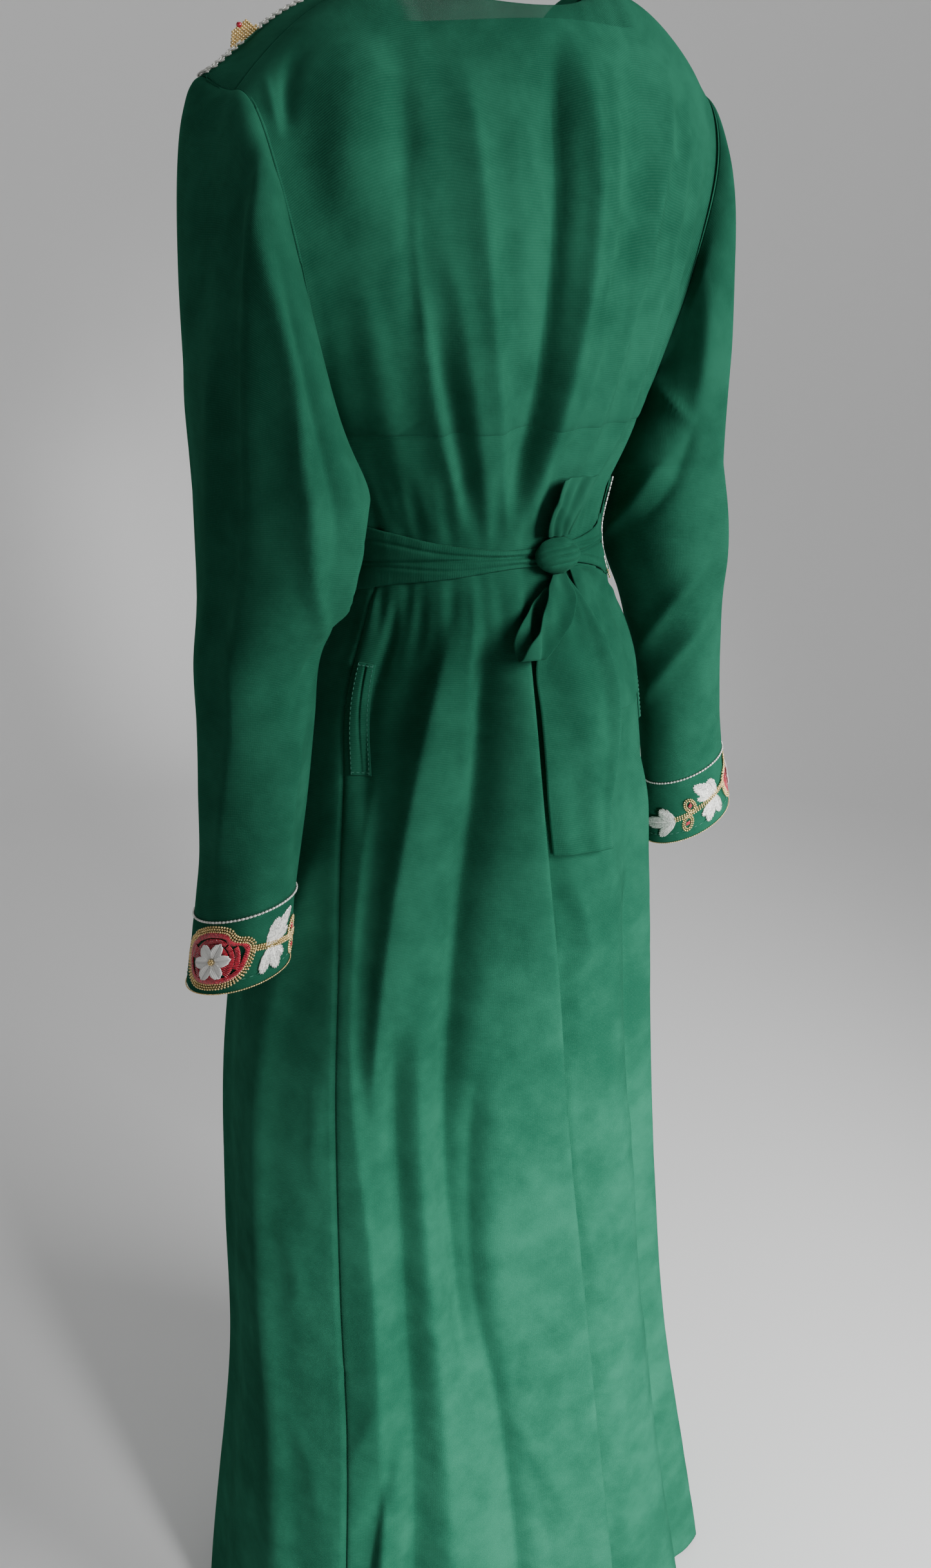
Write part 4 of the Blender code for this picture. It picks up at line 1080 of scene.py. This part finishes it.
def curve_through(points, step, closed=False):
    """Evenly spaced places along a smooth line through some points, with the directions there."""
    points = np.array(points, float)
    if closed:
        points = np.concatenate([points[-2:], points, points[:3]])
    else:
        points = np.concatenate([[2 * points[0] - points[1]], points, [2 * points[-1] - points[-2]]])
    fine = []
    first, last = (2, len(points) - 3) if closed else (1, len(points) - 2)
    t = np.linspace(0, 1, 24, endpoint=False)[:, None]
    for k in range(first, last):
        a, b, c, d = points[k - 1:k + 3]
        fine.append(hermite(t, b, (c - a) / 2, c, (d - b) / 2))
    fine = np.concatenate(fine + [points[last][None, :]])
    run = np.concatenate([[0], np.cumsum(np.linalg.norm(np.diff(fine, axis=0), axis=1))])
    count = max(2, int(round(run[-1] / step)) + 1)
    at = np.linspace(0, run[-1], count)
    line = np.stack([np.interp(at, run, fine[:, k]) for k in range(fine.shape[1])], -1)
    return line[:-1] if closed else line


def track_along(points, normals, step):
    """Evenly spaced points along a line on the cloth, and the outward directions there."""
    joined = curve_through(np.concatenate([points, normals * 1e-5], 1), step)
    return joined[:, :3], unit(joined[:, 3:])


def directions(line, closed=False):
    if closed:
        return unit(np.roll(line, -1, axis=0) - np.roll(line, 1, axis=0))
    return unit(np.gradient(line, axis=0))


# Cuff embroidery in millimetres: along the band from the flower's middle, up from its lower edge
FLOWER_UP = 25.6
FLOWER_RIM = ((-17, 46), (-6, 50), (4, 50), (12, 47.5), (15.5, 43), (20, 40), (27, 38), (31, 33),
              (30.5, 27), (28.5, 20), (25, 14), (19, 9.5), (11, 7), (3, 6.5), (-6, 6.5), (-15, 8),
              (-22, 13), (-26, 20), (-28, 28), (-27, 35), (-24, 40), (-20, 43))
STEM = ((31, 30), (44, 27.5), (58, 25), (72, 22.5), (84, 21))
LEAF_LOBES = (
    ((43, 29), (52, 45), 4.6),
    ((45, 29), (66, 47), 5.0),
    ((48, 29), (63, 33), 3.2),
    ((44, 25), (40, 8), 4.0),
    ((47, 25), (54, 7), 4.6),
    ((48, 24), (59, 15), 3.4),
    ((85, 21), (100, 31), 4.6),
    ((86, 21), (116, 19), 5.2),
    ((85, 20), (99, 8), 4.2),
)
BUDS = (((67, 24), (74, 37), 4.6), ((72, 22), (74, 8), 4.6))
PETAL_LENGTH, PETAL_HALF_WIDTH = 15.0, 4.5
RED_RINGS = (7.0, 11.4, 15.8, 20.2, 24.6)
RED_LENGTH, RED_PITCH = 4.2, 1.25
RIM_HALF = 2.2
PETAL_TURNS = (4, 64, 123, 184, 244, 304)
# Rings of beads round a bud: share of its length and of its width, and the stand-off in metres
BUD_RINGS = ((1.0, 1.0, 0.0008), (0.72, 0.66, 0.0009))
RAISED, LEAF_STAND, BUD_STAND = 0.0011, 0.0006, 0.0012
# Lengths of the bugles in a leaf: longest and shortest, the rows' pitch, and their slant
LEAF_LONGEST, LEAF_SHORTEST, LEAF_PITCH = 2.3, 0.7, 1.05
LEAF_ALONG, LEAF_ASIDE = 0.82, 0.57
ROW_ENDS = (-120, 121, 8)


def on_cuff(side, marks, stand):
    """Points and outward directions for places of a cuff given in millimetres."""
    marks = np.array(marks, float)
    point, normal = cuff_frame(side, marks[:, 0] * MM, marks[:, 1] * MM)
    return point + normal * stand, normal


def cuff_copies(bm, mesh, side, marks, runs, stand):
    """Beads at places of a cuff, each lying along its run there."""
    points, normals = on_cuff(side, marks, stand)
    ahead = on_cuff(side, marks + runs * 0.1, stand)[0]
    place_copies(bm, mesh, points, ahead - points, normals)


def lobe_axes(base, tip):
    """Foot and length of a leaf's lobe or a bud, and its directions along and across."""
    base = np.array(base, float)
    length = np.linalg.norm(tip - base)
    along = (tip - base) / length
    return base, length, along, np.array([-along[1], along[0]])


def bead_row(bm, mesh, side, line, step, stand, closed=False, offset=0.0):
    """Beads set side by side along a line of a cuff."""
    marks = curve_through(line, step, closed)
    runs = directions(marks, closed)
    aside = np.stack([-runs[:, 1], runs[:, 0]], -1)
    cuff_copies(bm, mesh, side, marks + aside * offset, runs, stand)


def rim_radius(turn):
    """Distance from the flower's middle to the rim in one direction."""
    rim = curve_through(FLOWER_RIM, 0.5, closed=True) - np.array([0, FLOWER_UP])
    turns = np.arctan2(rim[:, 1], rim[:, 0])
    order = np.argsort(turns)
    return np.interp(turn, turns[order], np.hypot(rim[:, 0], rim[:, 1])[order], period=2 * math.pi)


def cuff_gold(side):
    bm = bmesh.new()
    bead = unit_bead(8, 5, 0.00095, 0.0017)
    for offset, step in ((-1.8, 2.05), (0.1, 2.15), (1.9, 2.25)):
        bead_row(bm, bead, side, FLOWER_RIM, step, RAISED * 0.9, closed=True, offset=offset)
    for offset in (-1.4, 0.4, 2.1):
        bead_row(bm, bead, side, STEM, 2.1, 0.0008, offset=offset)
    for *ends, half in BUDS:
        base, length, along, away = lobe_axes(*ends)
        run = along * length / 2
        for share, width, stand in BUD_RINGS:
            ring = [base + run + share * run * math.cos(t) + away * width * half * math.sin(t)
                    for t in np.radians(np.arange(0, 360, 30))]
            bead_row(bm, bead, side, ring, 1.9, stand, closed=True)
    for ring, count in ((0.0, 1), (1.7, 6)):
        turns = 2 * math.pi * np.arange(count) / count
        marks = np.stack([ring * np.cos(turns), FLOWER_UP + ring * np.sin(turns)], -1)
        points, normals = on_cuff(side, marks, 0.0034 - ring * 0.0003)
        place_copies(bm, bead, points, np.cross(normals, [0, 0, 1.0]), normals)
    bottom_line = [(along, 0.4) for along in np.arange(*ROW_ENDS)]
    bead_row(bm, unit_bead(7, 5, 0.0006, 0.0019), side, bottom_line, 1.9, 0.0004)
    return bm


def cuff_silver(side):
    bm = bmesh.new()
    bugle = unit_bugle(0.00055, 0.0030)
    top, bottom = cuff_values(side)[:2]
    top_line = [(along, (top - bottom) / MM - 0.6) for along in np.arange(*ROW_ENDS)]
    bead_row(bm, unit_bugle(0.00088, 0.0027), side, top_line, 3.0, 0.0007)
    for *ends, half in LEAF_LOBES:
        base, length, along, away = lobe_axes(*ends)
        count = int(length / LEAF_PITCH)
        for flank in (1, -1):
            slant = unit(along * LEAF_ALONG + away * flank * LEAF_ASIDE)
            for k in range(count):
                share = (k + 0.4) / count
                width = half * math.sin(math.pi * min(1.0, 0.18 + 0.82 * share)) ** 0.75
                reach = max(width / LEAF_ASIDE, 0.8)
                for step in np.arange(0.3, reach, LEAF_LONGEST):
                    size = min(LEAF_LONGEST, reach - step)
                    if size > LEAF_SHORTEST:
                        middle = base + along * (share * length - 0.35 * reach) + slant * (step + size / 2)
                        cuff_copies(bm, bugle, side, middle[None, :], slant, LEAF_STAND)
    return bm


def cuff_red(side):
    bm = bmesh.new()
    bugle = unit_bugle(0.00060, RED_LENGTH * MM)
    rows = []
    for distance in RED_RINGS:
        turns = np.arange(-math.pi, math.pi, RED_PITCH / distance)
        turns = turns[distance + RED_LENGTH * 1.3 < rim_radius(turns) - RIM_HALF]
        rows.append((turns, np.full(len(turns), distance)))
    turns = np.arange(-math.pi, math.pi, RED_PITCH / RED_RINGS[-1])
    rows.append((turns, rim_radius(turns) - RIM_HALF - RED_LENGTH / 2))
    for turns, radius in rows:
        ways = np.stack([np.cos(turns), np.sin(turns)], -1)
        cuff_copies(bm, bugle, side, radius[:, None] * ways + (0, FLOWER_UP), ways, RAISED)
    bugle = unit_bugle(0.0006, 0.0036)
    for base, tip, _ in BUDS:
        base, length, along, away = lobe_axes(base, tip)
        marks = [base + along * length / 2 + (away + 0.4 * along) * shift for shift in (-1.1, 0.0, 1.1)]
        cuff_copies(bm, bugle, side, np.array(marks), along, BUD_STAND)
    return bm


def petals(name, side):
    """Six satin petals, each a cupped grid, joined as one piece."""
    bm = bmesh.new()
    layer = bm.loops.layers.uv.new("cloth")
    for turn in PETAL_TURNS:
        made = bmesh.ops.create_grid(bm, x_segments=8, y_segments=10, size=0.5)
        verts = made["verts"]
        flat = np.array([v.co[:2] for v in verts]) + 0.5
        across, out = flat[:, 0] * 2 - 1, flat[:, 1]
        width = PETAL_HALF_WIDTH * (0.16 + 0.84 * np.sin(math.pi * (0.10 + 0.72 * out)) ** 0.9)
        tip = 1 - 0.10 * across ** 2 + 0.035 * np.cos(across * 5)
        forward = 2.0 + (PETAL_LENGTH - 2.0) * out * tip
        sideways = across * width
        angle = math.radians(turn)
        marks = np.stack([forward * math.cos(angle) - sideways * math.sin(angle),
                          FLOWER_UP + forward * math.sin(angle) + sideways * math.cos(angle)], -1)
        cup = 0.0012 * np.abs(across) ** 1.5 * np.sin(math.pi * out) - 0.0006 * bell(across, 0.16)
        points = on_cuff(side, marks, (0.0018 + 0.0012 * out + cup)[:, None])[0]
        for vert, place, uv in zip(verts, points, np.stack([sideways * MM, forward * MM], -1)):
            vert.co = place
            for loop in vert.link_loops:
                loop[layer].uv = uv
    if side < 0:
        bmesh.ops.reverse_faces(bm, faces=bm.faces)
    piece = new_piece(name, bm, SATIN)
    shell = piece.modifiers.new("wall", "SOLIDIFY")
    shell.thickness = 0.0005
    shell.offset = 0
    return piece


STITCH_STAND = 0.0002


def stitches(name, lines, dash=0.0026, gap=0.0012, thick=0.00028):
    """Running stitches along lines of (point, outward) pairs, as one piece."""
    bm = bmesh.new()
    mesh = unit_bead(6, 4, thick, dash)
    for points, normals in lines:
        track, outs = track_along(points, normals, dash + gap)
        place_copies(bm, mesh, track, directions(track), outs)
    return new_piece(name, bm, THREAD)


def body_cloth():
    back = keep(panel("back_cloth", True, 168, 264), "emerald_cloth", "back_panel")
    front = keep(panel("front_cloth", False, 140, 220), "emerald_cloth", "front_panel")


def sleeves():
    for side, name in ((1, "left"), (-1, "right")):
        arm = keep(sleeve("sleeve_cloth_" + name, side, 104, 170), "emerald_cloth", "sleeve_" + name)
        band = keep(cuff("cuff_cloth_" + name, side, 128, 40), "emerald_cloth", "cuff_" + name)


def waist():
    band = keep(waist_band("waist_cloth", 160, 36), "emerald_cloth", "waist_panel")
    left = keep(tie("tie_cloth_left", TIE_LEFT, 12, 98.0, 110), "emerald_cloth", "belt_tie_left")
    right = keep(tie("tie_cloth_right", TIE_RIGHT, 98.6, 146.6, 70), "emerald_cloth", "belt_tie_right")
    lump = keep(knot("knot_cloth"), "emerald_cloth", "knot")


def tails():
    def stub_wave(across, at):
        return 0.0022 * np.cos(across * 7 + 0.5) * fade(at, 0, 0.4) + 0.0008 * np.sin(across * 19)

    def loop_wave(across, at):
        return 0.0012 * np.sin(across * 6 + at * 3)

    def long_wave(across, at):
        roll = 0.0045 * fade(across, 0.80, 1.0)
        ripple = 0.0012 * np.sin(across * 5 + at * 4) + 0.0014 * np.sin(across * 11 - at * 7)
        return (ripple + roll) * fade(at, 0, 0.2)

    def wide_wave(across, at):
        roll = 0.0030 * fade(across, 0.55, 0.95) + 0.0025 * fade(at, 0.75, 1.0)
        return (0.0014 * np.sin(across * 8 - at * 3) + roll) * fade(at, 0, 0.2)

    for name, table, wave, node, flat in (
            ("stub_cloth", STUB, stub_wave, "stub_end", (0.035, 0.047)),
            ("loop_cloth", BOW_LOOP, loop_wave, "bow_loop", (0.030, 0.16)),
            ("tail_long_cloth", LONG_TAIL, long_wave, "tail_long", (0.055, 0.24)),
            ("tail_wide_cloth", WIDE_TAIL, wide_wave, "tail_wide", (0.060, 0.125))):
        piece = keep(strip(name, table, 30, 120, wave), "emerald_cloth", node)


def pockets():
    for side, name in ((1, "left"), (-1, "right")):
        piece = keep(welt("welt_cloth_" + name, side), "emerald_cloth", "pocket_welt_" + name)
        lines = []
        for shift in (WELT_FIRST + 0.8, WELT_LAST - 0.8):
            lines.append((np.linspace(WELT_TOP - 0.002, WELT_BOTTOM + 0.002, 12), np.full(12, shift)))
        for z in (WELT_TOP - 0.0025, WELT_BOTTOM + 0.0025):
            lines.append((np.full(6, z), np.linspace(WELT_FIRST + 1.2, WELT_LAST - 1.2, 6)))
        made = []
        for z, shift in lines:
            beside = seam_angle(side, z) + shift
            surface, normal = cloth_point(beside if side > 0 else 180 - beside, z)
            made.append((posture(surface + normal * (WELT_SINK + WELT_THICK + STITCH_STAND)), normal))
        keep(stitches("welt_stitches_" + name, made), "emerald_cloth")


def cuff_beadwork():
    for side, name in ((1, "left"), (-1, "right")):
        keep(new_piece("cuff_gold_beads_" + name, cuff_gold(side), GOLD), "gold_beads")
        keep(new_piece("cuff_silver_beads_" + name, cuff_silver(side), SILVER), "silver_beads")
        keep(new_piece("cuff_red_beads_" + name, cuff_red(side), RED), "red_beads")
        piece = keep(petals("petals_" + name, side), "white_satin")
        line = np.array([(along, 8.5) for along in np.arange(-118, 119, 6)], float)
        points, normals = on_cuff(side, line, 0.0001)
        keep(stitches("cuff_stitches_" + name, [(points, normals)], 0.0034, 0.0026), "emerald_cloth")


def waist_beads():
    """Bugle beads down both upright edges of the waist panel, gold at the foot."""
    silver, gold = bmesh.new(), bmesh.new()
    bugle, bead = unit_bugle(0.00075, 0.0038), unit_bead(8, 5, 0.0010, 0.0018)
    for angle in (WAIST_PANEL_FIRST + 0.6, WAIST_PANEL_LAST - 0.6):
        for bm, mesh, ends in (
                (silver, bugle, (WAIST_PANEL_TOP - 0.002, WAIST_PANEL_BOTTOM + 0.008, -0.0040)),
                (gold, bead, (WAIST_PANEL_BOTTOM + 0.006, WAIST_PANEL_BOTTOM, -0.0019))):
            z = np.arange(*ends)
            surface, normal = cloth_point(np.full(z.shape, angle), z)
            points = posture(surface + normal * (LAID_GAP + WAIST_PANEL_THICK + 0.0004))
            place_copies(bm, mesh, points, np.gradient(points, axis=0), normal)
    keep(new_piece("waist_bugle_beads", silver, SILVER), "silver_beads")
    keep(new_piece("waist_gold_beads", gold, GOLD), "gold_beads")


def on_shoulder(marks, side, stand):
    """Places on the front of a shoulder given as (angle, row) for the left one, mirrored for the right."""
    marks = np.array(marks, float)
    angle = marks[:, 0] if side > 0 else 540 - marks[:, 0]
    base = body_point(angle, marks[:, 1])
    normal = body_normal(angle, marks[:, 1])
    return posture(base + normal * stand), normal


SHOULDER_SPRIG = ((356, 0.22), (350, 0.178), (345, 0.164), (340, 0.156), (336, 0.151), (332, 0.148))
SHOULDER_TWIG = ((326, 0.145), (322, 0.141), (318, 0.136), (314, 0.126), (309, 0.112), (304, 0.098))


def shoulder_beads():
    silver, gold, red = bmesh.new(), bmesh.new(), bmesh.new()
    bugle, bead = unit_bugle(0.0008, 0.0040), unit_bead(8, 5, 0.0011, 0.0020)
    for side in (1, -1):
        for line in (SHOULDER_SPRIG, SHOULDER_TWIG):
            fine = curve_through(np.array(line) * (1, 100), 1.0) / (1, 100)
            points, normals = on_shoulder(fine, side, 0.0004)
            track, outs = track_along(points, normals, 0.0030)
            runs = directions(track)
            sides = np.cross(outs, runs)
            flip = np.where(np.arange(len(track)) % 2 == 0, 1, -1)[:, None]
            place_copies(silver, bugle, track + sides * 0.0009 * flip, runs + sides * 0.55 * flip, outs)
            place_copies(silver, bugle, track + outs * 0.0012, runs - sides * 0.5 * flip, outs)
        points, normals = on_shoulder([(333, 0.150), (327, 0.144), (330, 0.147)], side, 0.0002)
        run = unit(points[1] - points[0])
        out = unit(normals[2])
        for rise in range(6):
            width = 0.013 * (1 - 0.10 * rise)
            for shift in np.arange(-width, width + 0.0001, 0.0021):
                spot = points[2] + run * shift + out * (0.0005 + 0.0016 * rise)
                place_copies(gold, bead, [spot], [run], [out])
        place_copies(red, unit_bead(10, 6, 0.0019, 0.0040), [points[2] + out * 0.0095], [run], [out])
    keep(new_piece("shoulder_silver_beads", silver, SILVER), "silver_beads")
    keep(new_piece("shoulder_gold_beads", gold, GOLD), "gold_beads")
    keep(new_piece("shoulder_red_beads", red, RED), "red_beads")


# Camera of the photo, and the studio
CAMERA_PLACE = (0.621, 0.920, -0.225)
CAMERA_YAW, CAMERA_PITCH = 146.3, 18.9
CAMERA_LENS = 31.06
CAMERA_SENSOR = 36.0


def camera():
    data = bpy.data.cameras.new("camera")
    data.sensor_fit = "VERTICAL"
    data.sensor_height = CAMERA_SENSOR
    data.sensor_width = CAMERA_SENSOR
    data.lens = CAMERA_LENS
    data.clip_start = 0.01
    item = bpy.data.objects.new("camera", data)
    item.location = CAMERA_PLACE
    item.rotation_euler = (math.radians(90 - CAMERA_PITCH), 0, math.radians(CAMERA_YAW))
    bpy.context.scene.collection.objects.link(item)
    bpy.context.scene.camera = item


STAGE_RADIUS, STAGE_HEIGHT, STAGE_CURVE = 3.4, 3.6, 0.9


def stage():
    """A round pale studio floor whose edge curves up into a wall."""
    bm = bmesh.new()
    profile = [(0.001, 0.0), (STAGE_RADIUS - STAGE_CURVE, 0.0)]
    for k in range(1, 9):
        a = math.pi / 2 * k / 8
        profile.append((STAGE_RADIUS - STAGE_CURVE * (1 - math.sin(a)), STAGE_CURVE * (1 - math.cos(a))))
    profile.append((STAGE_RADIUS, STAGE_HEIGHT))
    verts = [bm.verts.new((x, 0, z + HEM_Z - 0.004)) for x, z in profile]
    edges = [bm.edges.new(pair) for pair in zip(verts, verts[1:])]
    bmesh.ops.spin(bm, geom=verts + edges, cent=(0, 0, 0), axis=(0, 0, 1), angle=2 * math.pi, steps=72,
                   use_merge=True)
    bmesh.ops.recalc_face_normals(bm, faces=bm.faces)
    bmesh.ops.reverse_faces(bm, faces=bm.faces)
    finish = Finish("studio_grey", Roughness=0.9, Specular_IOR_Level=0.1)
    finish.set("Base Color", (0.74, 0.74, 0.74, 1))
    new_piece("studio_floor", bm, finish.material)


def lamp(name, place, target, size, power):
    """A square soft box, or a round spot when the size is a cone's angle."""
    if isinstance(size, tuple):
        data = bpy.data.lights.new(name, "AREA")
        data.shape = "RECTANGLE"
        data.size, data.size_y = size
    else:
        data = bpy.data.lights.new(name, "SPOT")
        data.spot_size = math.radians(size)
        data.spot_blend = 1.0
        data.shadow_soft_size = 0.16
    data.energy = power
    item = bpy.data.objects.new(name, data)
    item.location = place
    item.rotation_euler = (Vector(target) - Vector(place)).to_track_quat("-Z", "Y").to_euler()
    item.visible_camera = False
    bpy.context.scene.collection.objects.link(item)


def lights():
    lamp("low_key", (0.12, 2.05, -0.82), (-0.28, 0.10, -1.24), 46, 415)
    lamp("high_key", (-0.80, 1.38, 0.10), (0.0, 0.0, -0.38), (0.8, 0.8), 42)
    lamp("overhead", (-0.5, -1.1, 2.3), (-0.5, -1.2, -1.4), (3.2, 2.6), 42)
    world = bpy.data.worlds.new("studio")
    world.use_nodes = True
    world.node_tree.nodes["Background"].inputs["Color"].default_value = (1, 1, 1, 1)
    world.node_tree.nodes["Background"].inputs["Strength"].default_value = 0.02
    bpy.context.scene.world = world


camera()
stage()
lights()
body_cloth()
sleeves()
waist()
tails()
pockets()
cuff_beadwork()
waist_beads()
shoulder_beads()
